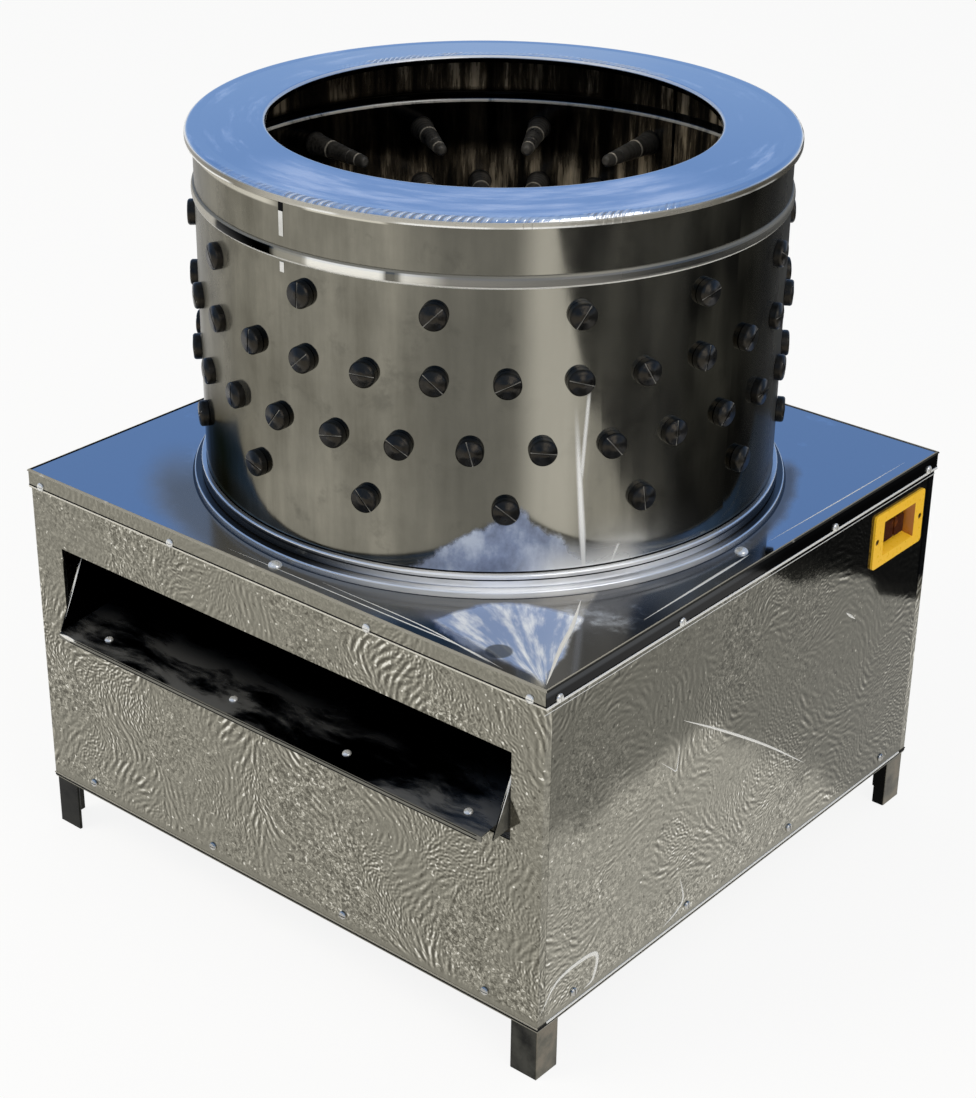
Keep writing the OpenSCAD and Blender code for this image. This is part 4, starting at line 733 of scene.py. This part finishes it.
def leg_steel(name):
    """Dull bar with painted light: paler on the faces that look to the switch side, painted shade on the
    others, darker on the left and black at the back.
    """
    g = Graph(name, Metallic=1.0)
    mottle = g.noise(45.0, 5.0, 0.6)
    x, y, _ = g.axes()
    # painted light on the switch-side faces, painted shade on the others
    painted_lit = g.ramp(mottle, [(0.36, srgb(74, 70, 62)), (0.5, srgb(100, 97, 86)), (0.64, srgb(126, 118, 104))])
    dark = g.ramp(mottle, [(0.36, srgb(26, 26, 24)), (0.64, srgb(68, 67, 61))])
    dark = g.mix(g.span(x, -0.1, 0.1, 0.6, 0.0), dark, srgb(14, 14, 13))
    dark = g.mix(g.span(y, 0.0, 0.2), dark, srgb(8, 8, 7))
    right = g.times(g.span(g.facing(0), 0.3, 0.8), g.span(x, -0.1, 0.1))
    g.set("Base Color", g.mix(right, dark, painted_lit))
    g.rough(mottle, 0.3, 0.46)
    g.bump(mottle, 0.12, 0.0006)
    return g.material


def painted(name, colour, wear_and_painted_light, rough=0.4, metallic=0.0):
    """Enamel or moulded plastic with faint orange peel and paler wear."""
    g = Graph(name, Metallic=metallic)
    peel = g.noise(420.0, 2.0)
    wear = g.span(g.noise(38.0, 6.0, 0.7), 0.56, 0.74)
    g.set("Base Color", g.mix(g.times(wear, 0.6), colour, wear_and_painted_light))
    g.rough(peel, rough - 0.06, rough + 0.08)
    g.bump(peel, 0.12, 0.0004)
    return g.material


def fold_steel(name):
    """Folded sheet edge: grey, painted shade on the switch side, bright in places from wear and painted
    highlight.
    """
    g = Graph(name, Metallic=0.0, Specular_IOR_Level=0.0)
    wear = g.noise(38.0, 6.0, 0.7)
    grey = g.mix(g.span(g.facing(0), 0.2, 0.6), srgb(146, 144, 136), srgb(46, 46, 45))
    g.set("Base Color", g.mix(g.span(wear, 0.6, 0.76, 0.0, 0.6), grey, srgb(240, 239, 234)))
    g.rough(wear, 0.4, 0.6)
    g.bump(wear, 0.1, 0.0004)
    return g.material


# Painted light on the wall fingers: a paler shaft within the drum, and painted highlights as pale rings
# along it
FINGER_SHAFT = (DRUM_IN_R - 0.006, DRUM_IN_R - 0.002, 1.0, 0.0)
FINGER_RING_HALF = 0.0007
FINGER_RING_SOFT = 0.0005
HEAD_DOME = (0.2 * HEAD_R, 1.05 * HEAD_R, 1.0, 0.0)


def rubber(name, row=None):
    """Moulded rubber with dust in patches. Wall fingers get a domed head, painted light on the shaft within
    the drum and painted highlights as pale rings along it.
    """
    g = Graph(name, Metallic=0.0, Specular_IOR_Level=0.36, Specular_Tint=RUBBER_TINT)
    dust = g.noise(70.0, 6.0, 0.68)
    tone = g.ramp(dust, [(0.38, srgb(9, 9, 9)), (0.62, srgb(19, 19, 18)), (0.8, srgb(54, 52, 49))])
    height = g.times(g.noise(600.0, 3.0), 0.05)
    if row:
        shaft = g.ramp(dust, [(0.35, srgb(48, 47, 45)), (0.7, srgb(86, 84, 80))])
        tone = g.mix(g.span(g.radius(), *FINGER_SHAFT), tone, shaft)
        for ring_at in FINGER_RINGS:
            ring = g.band(g.radius(), ring_at, FINGER_RING_HALF, FINGER_RING_SOFT)
            tone = g.mix(ring, tone, srgb(190, 184, 172))
        every, shift = ROWS[row]
        half_step = every * FINGER_STEP / 2
        turned = g.minus(g.angle(), FINGER_PHASE + shift * FINGER_STEP)
        turned = g.math("WRAP", turned, half_step, -half_step)
        along = g.times(turned, math.pi / 180 * DRUM_R)
        up = g.minus(g.axes()[2], LID_TOP + ROW_HEIGHTS[row])
        out = g.math("SQRT", g.plus(g.times(along, along), g.times(up, up)))
        height = g.plus(height, g.span(out, *HEAD_DOME))
    g.set("Base Color", tone)
    g.rough(dust, 0.26, 0.42)
    g.bump(height, 1.0, 0.005 if row else 0.0008)
    return g.material


DOT_TURNS = 3200.0
RECESS_HALF = 0.008
RECESS_SOFT = 0.002


def moulded_yellow(name):
    """Moulded plastic, dirty in patches, with painted shade on the recess wall that faces the front."""
    g = Graph(name, Metallic=0.0)
    dirt = g.span(g.noise(90.0, 6.0, 0.7), 0.58, 0.78)
    x, y, z = g.axes()
    # painted shade on the recess wall that faces the front
    inner = g.band(y, RECESS_END, RECESS_HALF, RECESS_SOFT)
    inner = g.times(inner, g.span(g.facing(1), -0.8, -0.3, 1.0, 0.0))
    dots_along = g.math("SINE", g.times(x, DOT_TURNS))
    dots = g.times(dots_along, g.math("SINE", g.times(z, DOT_TURNS)))
    wall = g.mix(g.span(dots, -0.3, 0.5), srgb(136, 74, 6), srgb(196, 124, 18))
    face = g.mix(g.times(dirt, 0.35), srgb(255, 200, 46), srgb(236, 164, 30))
    g.set("Base Color", g.mix(inner, face, wall))
    g.rough(g.noise(300.0, 2.0), 0.26, 0.4)
    g.bump(g.noise(500.0, 2.0), 0.1, 0.0003)
    return g.material


PANEL_STEEL = wavy_steel("wavy_sheet")
REAR_STEEL = wavy_steel("wavy_sheet_rear", mirror=0.45)
SWITCH_SIDE_STEEL = wavy_steel("wavy_sheet_shaded", True)
DRUM_STEEL = drum_steel("drum_sheet")
LID_STEEL = lid_steel("lid_mirror")
RIM_STEEL = rim_steel("rim_mirror")
BRIGHT_STEEL = plain_steel("bright_band", srgb(196, 195, 190), srgb(224, 223, 218), 0.1)
FOLD_STEEL = fold_steel("folded_edge")
FOOT_STEEL = foot_steel("foot_band")
# Painted highlight: the pale matt hem below the lid's skirt
HEM_STEEL = painted("skirt_edge", srgb(206, 203, 192), srgb(240, 238, 230), 0.4, 0.0)
# Painted highlight: pale matt lines along creases and hems, and glints
CREASE_HIGHLIGHT = painted("painted_highlight_line", srgb(226, 225, 220), srgb(244, 243, 240), 0.35, 0.2)
# Painted shade: dark strips in the skirt and panel gaps, along the chute lip and at the seam's top
SHADOW_STEEL = plain_steel("dark_gap", srgb(12, 12, 12), srgb(22, 22, 21), 0.5)
CHUTE_STEEL = chute_steel("chute_sheet")
CHEEK_STEEL = cheek_steel("chute_side")
SCREW_STEEL = painted("screw_plate", srgb(224, 223, 218), srgb(246, 245, 242), 0.26, 0.5)
PANEL_SCREW = plain_steel("dull_plate", srgb(150, 148, 141), srgb(206, 203, 195), 0.3, 300.0)
LEG_STEEL = leg_steel("leg_bar")
SHAFT_STEEL = plain_steel("ground_bar", srgb(150, 150, 150), srgb(190, 190, 190), 0.2, 120.0)
IRON = painted("casting", srgb(60, 61, 63), srgb(86, 84, 80), 0.55, 0.6)
MOTOR_PAINT = painted("motor_enamel", srgb(92, 106, 116), srgb(132, 138, 140), 0.38)
BLACK_PLASTIC = painted("black_moulding", srgb(26, 26, 27), srgb(52, 52, 52), 0.42)
# Dark brown buttons: the brown is a painted reflection of the yellow recess walls
BUTTON_PLASTIC = painted("glossy_button", srgb(70, 32, 12), srgb(150, 84, 30), 0.12)
BEZEL_SCREW = plain_steel("dull_screw", srgb(104, 72, 36), srgb(150, 112, 60), 0.3, 300.0)
YELLOW = moulded_yellow("yellow_moulding")
WALL_RUBBER = {row: rubber(f"wall_finger_rubber_{row}", row) for row in ROWS}
BLACK_RUBBER = rubber("black_rubber")
DUST = painted("slot_dust", srgb(112, 110, 105), srgb(160, 157, 149), 0.6)

FINISH = {
    PANEL_STEEL: ["front_panel", "left_panel"],
    REAR_STEEL: ["rear_panel"],
    SWITCH_SIDE_STEEL: ["right_panel"],
    DRUM_STEEL: ["drum_shell"],
    LID_STEEL: ["lid"],
    RIM_STEEL: ["rim_ring"],
    BRIGHT_STEEL: ["turntable_disc", "sweep_paddles"],
    FOOT_STEEL: ["foot_ring"],
    CHUTE_STEEL: ["chute_floor", "chute_back", "shaft_collar"],
    CHEEK_STEEL: ["chute_cheek_left", "chute_cheek_right"],
    PANEL_SCREW: ["panel_screws"],
    SCREW_STEEL: ["skirt_screws", "lid_bolts", "chute_screws", "housing_bolts",
                  "motor_bolts", "disc_bolts", "centre_cap", "pulley_bolt"],
    LEG_STEEL: ["leg_front_left", "leg_front_right", "leg_rear_left", "leg_rear_right", "top_rails",
                "lower_rails", "chute_bracket", "bearing_beams", "bearing_plate", "motor_plate"],
    SHAFT_STEEL: ["ball_bearings", "motor_rotor", "main_shaft"],
    IRON: ["bearing_housing", "turntable_hub", "motor_pulley", "drive_pulley"],
    MOTOR_PAINT: ["motor_flange", "motor_body", "motor_fan_cover", "terminal_box"],
    BLACK_PLASTIC: ["switch_box", "cable_gland", "motor_fan"],
    BUTTON_PLASTIC: ["on_button", "off_button"],
    BEZEL_SCREW: ["bezel_screws"],
    YELLOW: ["switch_bezel"],
    **{finish: [f"wall_fingers_row_{row}"] for row, finish in WALL_RUBBER.items()},
    BLACK_RUBBER: ["disc_fingers", "motor_lead", "v_belt"],
}
for material, names in FINISH.items():
    for name in names:
        NODES[name].data.materials.clear()
        NODES[name].data.materials.append(material)


WELD_REACH = 1e-6
ROUND_FROM = math.radians(50)
BEZEL_ROUND = 0.0008
BUTTON_ROUND = 0.0015
LEG_ROUND = 0.0009


def soften(name, width, segments=3):
    """Rounds a node's sharp edges."""
    node = NODES[name]
    node.modifiers.new("join", "WELD").merge_threshold = WELD_REACH
    bevel = node.modifiers.new("edges", "BEVEL")
    bevel.width = width
    bevel.segments = segments
    bevel.limit_method = "ANGLE"
    bevel.angle_limit = ROUND_FROM
    bevel.use_clamp_overlap = True
    node.modifiers.new("shade", "WEIGHTED_NORMAL").keep_sharp = False


soften("switch_bezel", BEZEL_ROUND)
for name in ("on_button", "off_button"):
    soften(name, BUTTON_ROUND)
for name in ("leg_front_left", "leg_front_right", "leg_rear_left", "leg_rear_right"):
    soften(name, LEG_ROUND, 2)


# Pieces that the solids leave out

SHARP_FROM = math.radians(40)


def piece(name, bm, material):
    """Makes a piece of the chassis from a finished bmesh."""
    bmesh.ops.recalc_face_normals(bm, faces=bm.faces)
    mesh = bpy.data.meshes.new(name)
    bm.to_mesh(mesh)
    bm.free()
    for polygon in mesh.polygons:
        polygon.use_smooth = True
    mesh.set_sharp_from_angle(angle=SHARP_FROM)
    mesh.materials.append(material)
    obj = bpy.data.objects.new(name, mesh)
    bpy.context.scene.collection.objects.link(obj)
    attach(obj, "chassis")


def skin(bm, rings, closed=False):
    """Joins rings of points with faces, in a closed loop of rings or with a face at both ends."""
    rings = [[bm.verts.new(point) for point in ring] for ring in rings]
    for ring, after in zip(rings, rings[1:] + (rings[:1] if closed else [])):
        for i in range(len(ring)):
            j = (i + 1) % len(ring)
            bm.faces.new((ring[i], ring[j], after[j], after[i]))
    if not closed:
        bm.faces.new(rings[0])
        bm.faces.new(rings[-1][::-1])


def add_loop(bm, corner, profile):
    """Sweeps a profile of (out, height) points round a rectangle, mitred at its corners."""
    rings = []
    for sx, sy in ((1, 1), (-1, 1), (-1, -1), (1, -1)):
        rings.append([(sx * (corner[0] + out), sy * (corner[1] + out), z) for out, z in profile])
    skin(bm, rings, closed=True)


def rounded(middle_z, half_out, half_z, steps=10):
    """An oval profile for a rolled edge."""
    angles = [2 * math.pi * i / steps for i in range(steps)]
    return [(half_out * math.cos(a), middle_z + half_z * math.sin(a)) for a in angles]


HEM_OUT = 0.0009
SKIRT_HEM_UP = 0.0012
SKIRT_HEM_HALF = 0.0009
SKIRT_GAP_UP = 0.0028
SKIRT_GAP_HALF = 0.0008
PANEL_HEM_UP = 0.0043
PANEL_GAP_UP = 0.0022
PANEL_HEM_HALF = 0.0011
FOLD_R = 0.002
FOLD_OUT = 0.0009
FOLD_IN = FOLD_OUT - FOLD_R
FOLD_SINK = 0.0006
FOLD_STEPS = 8
LID_CORNER = (LID_HIGH.x, LID_HIGH.y)
PANEL_CORNER = (PANEL_HIGH.x, PANEL_BACK)

turns = [math.pi / 2 * i / FOLD_STEPS for i in range(FOLD_STEPS + 1)]
fold = [(FOLD_IN + FOLD_R * math.cos(a), LID_TOP + FOLD_IN + FOLD_R * math.sin(a)) for a in turns]
fold += [(FOLD_IN, LID_TOP - FOLD_SINK), (-FOLD_SINK, LID_TOP + FOLD_IN)]
# Hems and gaps: the skirt hem a pale strip of painted highlight, the gaps dark strips of painted shade, the
# lid fold and panel hem grey with painted highlights
LOOPS = [
    ("skirt_hem", LID_CORNER, rounded(LID_LOW.z + SKIRT_HEM_UP, HEM_OUT / 2, SKIRT_HEM_HALF),
     HEM_STEEL, "polished_steel"),
    ("skirt_gap", LID_CORNER, rounded(LID_LOW.z + SKIRT_GAP_UP, HEM_OUT / 3, SKIRT_GAP_HALF),
     SHADOW_STEEL, "frame_steel"),
    ("lid_fold", LID_CORNER, fold, FOLD_STEEL, "polished_steel"),
    ("panel_hem", PANEL_CORNER, rounded(PANEL_LOW.z + PANEL_HEM_UP, HEM_OUT, PANEL_HEM_HALF),
     FOLD_STEEL, "polished_steel"),
    ("panel_gap", PANEL_CORNER, rounded(PANEL_LOW.z + PANEL_GAP_UP, HEM_OUT / 2, PANEL_HEM_HALF),
     SHADOW_STEEL, "frame_steel"),
]
for name, corner, profile, material, slot in LOOPS:
    loop = bmesh.new()
    add_loop(loop, corner, profile)
    piece(name, loop, material)


def add_side_hem(bm, x, y_from, y_to, profile):
    """A rolled strip along one side, with closed ends."""
    skin(bm, [[(x + out, y, height) for out, height in profile] for y in (y_from, y_to)])


# Bright strips on the switch side, painted highlights along the skirt and panel edges, each as its height
# and its two half sizes
SKIRT_STRIP = (LID_LOW.z + 0.0012, HEM_OUT, 0.0014)
LINE_STRIP = (LID_LOW.z - 0.0052, HEM_OUT * 0.0004 / 0.0014, 0.0004)
PANEL_STRIP = (PANEL_LOW.z + PANEL_HEM_UP, 1.1 * HEM_OUT, 0.0013)
STRIP_INSET = 0.012

side_hem = bmesh.new()
add_side_hem(side_hem, LID_HIGH.x, LID_LOW.y, LID_HIGH.y, rounded(*SKIRT_STRIP))
add_side_hem(side_hem, PANEL_HIGH.x, LID_LOW.y, LID_HIGH.y, rounded(*LINE_STRIP))
strip_end = PANEL_BACK - STRIP_INSET
add_side_hem(side_hem, PANEL_HIGH.x, -strip_end, strip_end, rounded(*PANEL_STRIP))
piece("side_hem", side_hem, CREASE_HIGHLIGHT)


def smooth_path(points, steps=8):
    """Points along a smooth curve through the given ones."""
    ends = [2 * points[0] - points[1], *points, 2 * points[-1] - points[-2]]
    path = []
    for before, a, b, after in zip(ends, ends[1:], ends[2:], ends[3:]):
        for i in range(steps):
            t = i / steps
            bend = (2 * before - 5 * a + 4 * b - after) * t * t + (3 * a - before - 3 * b + after) * t ** 3
            path.append(a + ((b - before) * t + bend) / 2)
    return path + [points[-1]]


CREASE_SINK = 0.0001
CREASE_END = 0.15
CREASE_POINTS = 7


def add_ridge(bm, points, out, width, height):
    """A low rounded crease along points on a sheet, thinning to its ends."""
    path = smooth_path([Vector(p) for p in points])
    rings = []
    for i, point in enumerate(path):
        along = (path[min(i + 1, len(path) - 1)] - path[max(i - 1, 0)]).normalized()
        side = out.cross(along)
        slim = CREASE_END + (1 - CREASE_END) * math.sin(math.pi * i / (len(path) - 1))
        ring = []
        for k in range(CREASE_POINTS):
            a = math.pi * k / (CREASE_POINTS - 1)
            lift = height * slim * math.sin(a) - CREASE_SINK
            ring.append(point + side * (width / 2 * slim * math.cos(a)) + out * lift)
        rings.append(ring)
    skin(bm, rings)


CREASE_W = 0.0028
CREASE_H = 0.0006
THIN_CREASE_W = 0.0013
WIDE_CREASE_W = 0.0046
CHEEK_FOOT_Z = 0.2515
CHEEK_SHOULDER_Y = -0.276
CHEEK_SHOULDER_DROP = 0.0395
CHEEK_SHOWN = 0.72
CHEEK_EDGE_IN = 0.001
LIP_Z = 0.2495
LIP_GLINT_L = 0.026
LIP_GLINT_DROP = 0.0016
FRONTWARD = Vector((0, -1, 0))
# Painted highlights along dents pressed into the switch side's sheet, and one glint, as a width and places
# (y, z)
SIDE_CREASES = [
    (CREASE_W, [(-0.111, 0.284), (-0.049, 0.2455), (0.031, 0.192), (0.108, 0.135)]),
    (THIN_CREASE_W, [(-0.142, 0.254), (-0.125, 0.240), (-0.117, 0.234), (-0.1145, 0.246), (-0.113, 0.262)]),
    (CREASE_W, [(-0.1004, 0.108), (-0.0934, 0.082), (-0.1037, 0.0715), (-0.1254, 0.065)]),
    (WIDE_CREASE_W,
     [(-0.3065, 0.072), (-0.2806, 0.096), (-0.2294, 0.095), (-0.2305, 0.069), (-0.2447, 0.064)]),
    (CREASE_W, [(0.161, 0.282), (0.180, 0.2675)]),
]
# Painted highlights on the lid's sheet: a reflection of the drum's highlight, creases and lines along the
# front edge, as a width and places (x, y)
LID_CREASES = [
    (WIDE_CREASE_W, [(0.2457, -0.1693), (0.270, -0.213), (0.2869, -0.2507), (0.3153, -0.3049)]),
    (CREASE_W, [(0.3085, -0.1645), (0.3075, -0.05), (0.307, 0.001)]),
    (THIN_CREASE_W, [(0.305, 0.03), (0.3076, 0.1585), (0.309, 0.27)]),
    (THIN_CREASE_W, [(-0.06, -0.302), (0.1438, -0.3005), (0.2221, -0.3005), (0.2725, -0.3067)]),
    (THIN_CREASE_W, [(0.05, -0.2935), (0.1688, -0.2951), (0.2333, -0.3025), (0.2565, -0.3054)]),
]

creases = bmesh.new()
for width, line in SIDE_CREASES:
    add_ridge(creases, [(PANEL_HIGH.x, y, z) for y, z in line], Vector((1, 0, 0)), width, CREASE_H)
for width, line in LID_CREASES:
    add_ridge(creases, [(x, y, LID_TOP) for x, y in line], Vector((0, 0, 1)), width, CREASE_H)
# Painted highlights along the chute cheeks' front edges
for side in ("left", "right"):
    low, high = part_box(f"chute_cheek_{side}")
    x = (low.x + high.x) / 2
    foot = Vector((x, low.y + CHEEK_EDGE_IN, CHEEK_FOOT_Z))
    shoulder = Vector((x, CHEEK_SHOULDER_Y, LID_TOP - CHEEK_SHOULDER_DROP))
    mouth = foot.lerp(shoulder, CHEEK_SHOWN)
    add_ridge(creases, [foot, foot.lerp(mouth, 0.5), mouth], FRONTWARD, CREASE_W, CREASE_H)
# Painted highlight: a glint at the chute lip's left end
glint_z = LIP_Z - LIP_GLINT_DROP
glint = [(CHUTE_LOW.x + LIP_GLINT_L * share, CHUTE_LOW.y, glint_z) for share in (0.0, 0.5, 1.0)]
add_ridge(creases, glint, FRONTWARD, WIDE_CREASE_W, CREASE_H)
piece("painted_highlight_lines", creases, CREASE_HIGHLIGHT)


def add_bar(bm, place, size):
    """A box of a given size, put in place by a matrix."""
    bmesh.ops.create_cube(bm, size=1.0, matrix=place @ Matrix.Diagonal((*size, 1.0)))


LEG_LIP_W = 0.013
LEG_LIP_T = 0.003
LEG_LIP_H = PANEL_LOW.z + 0.02
LEG_LIP_IN = 0.0003
LEG_LIP_PROUD = 0.0005
LEG_LIP_ROUND = 0.0005

leg_lips = bmesh.new()
for side, way in (("left", -1), ("right", 1)):
    low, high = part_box(f"leg_rear_{side}")
    edge = high.x if way > 0 else low.x
    y = low.y + LEG_LIP_T / 2 - LEG_LIP_PROUD
    middle = (edge - way * (LEG_LIP_W / 2 + LEG_LIP_IN), y, LEG_LIP_H / 2)
    add_bar(leg_lips, Matrix.Translation(middle), (LEG_LIP_W, LEG_LIP_T, LEG_LIP_H))
bmesh.ops.bevel(leg_lips, geom=leg_lips.edges[:], offset=LEG_LIP_ROUND, segments=2, affect="EDGES")
piece("leg_lips", leg_lips, LEG_STEEL)

# Painted shadow lines along the top and bottom of the chute lip
LIP_LINE_H = 0.0009
LIP_LINE_T = 0.0005
LIP_LINE_DROP = 0.0013
LIP_LINE_L = CHUTE_HIGH.x - CHUTE_LOW.x - 0.03

lip_lines = bmesh.new()
for z in (LIP_Z - LIP_LINE_DROP, CHUTE_LOW.z + LIP_LINE_H):
    middle = Vector(((CHUTE_LOW.x + CHUTE_HIGH.x) / 2, CHUTE_LOW.y, z))
    add_bar(lip_lines, Matrix.Translation(middle), (LIP_LINE_L, LIP_LINE_T, LIP_LINE_H))
piece("lip_lines", lip_lines, SHADOW_STEEL)

SLOT_LINE = (1.9 * HEAD_R, 0.0009, 0.0004)
SLOT_FLOOR = FINGER_SEAT + HEAD_H - SLOT_DEPTH

for row, (every, shift) in ROWS.items():
    lines = bmesh.new()
    height = LID_TOP + ROW_HEIGHTS[row]
    for k in range(FINGER_COUNT // every):
        turn = math.radians(FINGER_PHASE + (k * every + shift) * FINGER_STEP)
        spin = math.radians((k + SLOT_ROW_SKIP * row) * SLOT_TURN)
        place = Matrix.Rotation(turn, 4, "Z") @ Matrix.Translation((SLOT_FLOOR, 0, height))
        place = place @ Matrix.Rotation(math.pi / 2, 4, "Y") @ Matrix.Rotation(spin, 4, "Z")
        add_bar(lines, place, SLOT_LINE)
    piece(f"slot_lines_row_{row}", lines, DUST)


SEAM_ANGLE = -90.6
SEAM_W = 0.005
SEAM_LIFT = 0.0004
SEAM_COLUMNS = 5
SEAM_DARK_FROM = RIM_LOW.z - 0.011
SEAM_LENGTHS = ((BEAD_Z + 0.015, SEAM_DARK_FROM), (BEAD_Z - 0.017, BEAD_Z - 0.008))


def add_wall_strip(bm, low, high):
    """A thin upright strip of the drum's seam, which follows its wall."""
    half = SEAM_W / 2 / DRUM_R
    columns = []
    for i in range(SEAM_COLUMNS + 1):
        a = math.radians(SEAM_ANGLE) - half + 2 * half * i / SEAM_COLUMNS
        edges = ((-SEAM_LIFT, low), (SEAM_LIFT, low), (SEAM_LIFT, high), (-SEAM_LIFT, high))
        way = Vector((math.cos(a), math.sin(a), 0.0))
        columns.append([(DRUM_R + lift) * way + Vector((0.0, 0.0, z)) for lift, z in edges])
    skin(bm, columns)


seam = bmesh.new()
for low, high in SEAM_LENGTHS:
    add_wall_strip(seam, low, high)
piece("drum_seam", seam, BRIGHT_STEEL)
# Painted shade: a dark strip on the seam's top length under the rim
seam_top = bmesh.new()
add_wall_strip(seam_top, SEAM_DARK_FROM, RIM_LOW.z)
piece("drum_seam_top", seam_top, SHADOW_STEEL)


# Floor, light and camera

FLOOR_HALF = 30.0
FLOOR_COLOUR = srgb(236, 236, 235)
FLOOR_WHITE = 0.88
FLOOR_DARK_REACH = (0.12, 0.2)
# A dark card lies to the right rear, unseen by the camera, and darkens that side of the drum
CARD_LIFT = 0.002
CARD_OUTLINE = [(2.30, -1.37), (1.35, -0.13), (1.13, 0.10), (0.72, 0.645), (0.665, 0.64), (0.645, 0.70),
                (0.61, 0.72), (0.575, 0.685), (0.52, 0.715), (0.40, 0.80), (0.05, 0.90), (-3.0, 4.8),
                (-3.0, 6.0), (9.0, 6.0), (9.0, -1.37)]
CARD_PATCHES = 1.6
CARD_TONES = [(0.4, srgb(48, 49, 51)), (0.64, srgb(104, 105, 104))]


def stage_material(name):
    """An empty material of the stage, with its nodes, a place on it and the socket of its surface."""
    material = bpy.data.materials.new(name)
    material.use_nodes = True
    nodes = Nodes(material.node_tree)
    nodes.tree.nodes.clear()
    nodes.place = nodes.add("TexCoord").outputs["Object"]
    return material, nodes, nodes.add("OutputMaterial").inputs["Surface"]


def floor_material():
    """Pale floor that camera and mirror rays see nearly white, with the shadow kept."""
    material, n, surface = stage_material("pale_floor")
    rays = n.add("LightPath").outputs
    seen = n.most(rays["Is Camera Ray"], rays["Is Glossy Ray"])
    seen = n.most(seen, rays["Is Transmission Ray"])
    reach = n.add("VectorMath", {0: n.place}, operation="LENGTH").outputs["Value"]
    share = n.times(seen, n.span(reach, *FLOOR_DARK_REACH, 0.0, FLOOR_WHITE, smooth=False))
    matt = n.add("BsdfDiffuse", {"Color": FLOOR_COLOUR}).outputs[0]
    white = n.add("Emission").outputs[0]
    n.put(surface, n.add("MixShader", {0: share, 1: matt, 2: white}).outputs[0])
    return material


def card_material():
    """Dark card that glows dimly with its own tone, paler in patches near the object."""
    material, n, surface = stage_material("dark_card")
    tone = n.ramp(n.noise(CARD_PATCHES), CARD_TONES)
    n.put(surface, n.add("Emission", {"Color": tone}).outputs[0])
    return material


def flat_card(name, corners, material):
    mesh = bpy.data.meshes.new(name)
    mesh.from_pydata([tuple(c) for c in corners], [], [tuple(range(len(corners)))])
    mesh.materials.append(material)
    card = bpy.data.objects.new(name, mesh)
    bpy.context.scene.collection.objects.link(card)
    return card


s = FLOOR_HALF
flat_card("floor", [(-s, -s, 0), (s, -s, 0), (s, s, 0), (-s, s, 0)], floor_material())

card = flat_card("dark_card", [(x, y, CARD_LIFT) for x, y in CARD_OUTLINE], card_material())
card.visible_camera = False
card.visible_shadow = False
card.visible_diffuse = False

# Mirror rays see a blue sky, matt surfaces a neutral one, and the camera white
SKY = [(0.0, srgb(236, 239, 243)), (0.07, srgb(196, 214, 240)), (0.18, srgb(140, 175, 227)),
       (0.5, srgb(115, 155, 216)), (1.0, srgb(165, 190, 226))]
SKY_NEUTRAL = srgb(205, 206, 206)
WHITE = (1.0, 1.0, 1.0, 1.0)

world = bpy.data.worlds.new("soft_sky")
bpy.context.scene.world = world
world.use_nodes = True
sky = Nodes(world.node_tree)
direction = sky.add("TexCoord").outputs["Generated"]
rays = sky.add("LightPath").outputs
colours = sky.ramp(sky.add("SeparateXYZ", {0: direction}).outputs[2], SKY)
colours = sky.mix(rays["Is Diffuse Ray"], colours, SKY_NEUTRAL)
background = sky.tree.nodes["Background"]
sky.put(background.inputs["Color"], sky.mix(rays["Is Camera Ray"], colours, WHITE))
background.inputs["Strength"].default_value = 1.0

LIGHT_AIM = Vector((0, 0, 0.4))
LIGHT_SIZE = 2.0
KEY_PLACE = Vector((-1.6, -2.4, 3.2))
KEY_POWER = 60
KEY_COLOUR = (1.0, 0.93, 0.8)
FILL_PLACE = Vector((2.6, -0.6, 2.4))
FILL_POWER = 30
FILL_COLOUR = (1.0, 0.94, 0.85)


def area_light(name, place, power, colour):
    data = bpy.data.lights.new(name, "AREA")
    data.energy = power
    data.color = colour
    data.size = LIGHT_SIZE
    lamp = bpy.data.objects.new(name, data)
    lamp.location = place
    lamp.rotation_euler = (LIGHT_AIM - place).to_track_quat("-Z", "Y").to_euler()
    lamp.visible_camera = False
    bpy.context.scene.collection.objects.link(lamp)
    return lamp


key = area_light("key", KEY_PLACE, KEY_POWER, KEY_COLOUR)
key.visible_glossy = False
area_light("fill", FILL_PLACE, FILL_POWER, FILL_COLOUR)

IMAGE_H = 1098
FOCAL_PX = 2309.2
SENSOR = 36.0
CAMERA_PLACE = Vector((1.3134, -1.5857, 1.3514))
CAMERA_AZIMUTH = 0.6919
CAMERA_DOWN = 0.4699
CAMERA_ROLL = 0.0134

camera_data = bpy.data.cameras.new("camera")
camera_data.sensor_fit = "VERTICAL"
camera_data.sensor_height = SENSOR
camera_data.lens = FOCAL_PX / IMAGE_H * SENSOR
camera = bpy.data.objects.new("camera", camera_data)
turn = Matrix.Rotation(CAMERA_AZIMUTH, 4, "Z") @ Matrix.Rotation(math.pi / 2 - CAMERA_DOWN, 4, "X")
camera.matrix_world = Matrix.Translation(CAMERA_PLACE) @ turn @ Matrix.Rotation(CAMERA_ROLL, 4, "Z")
bpy.context.scene.collection.objects.link(camera)
bpy.context.scene.camera = camera
bpy.context.scene.view_settings.view_transform = "Standard"
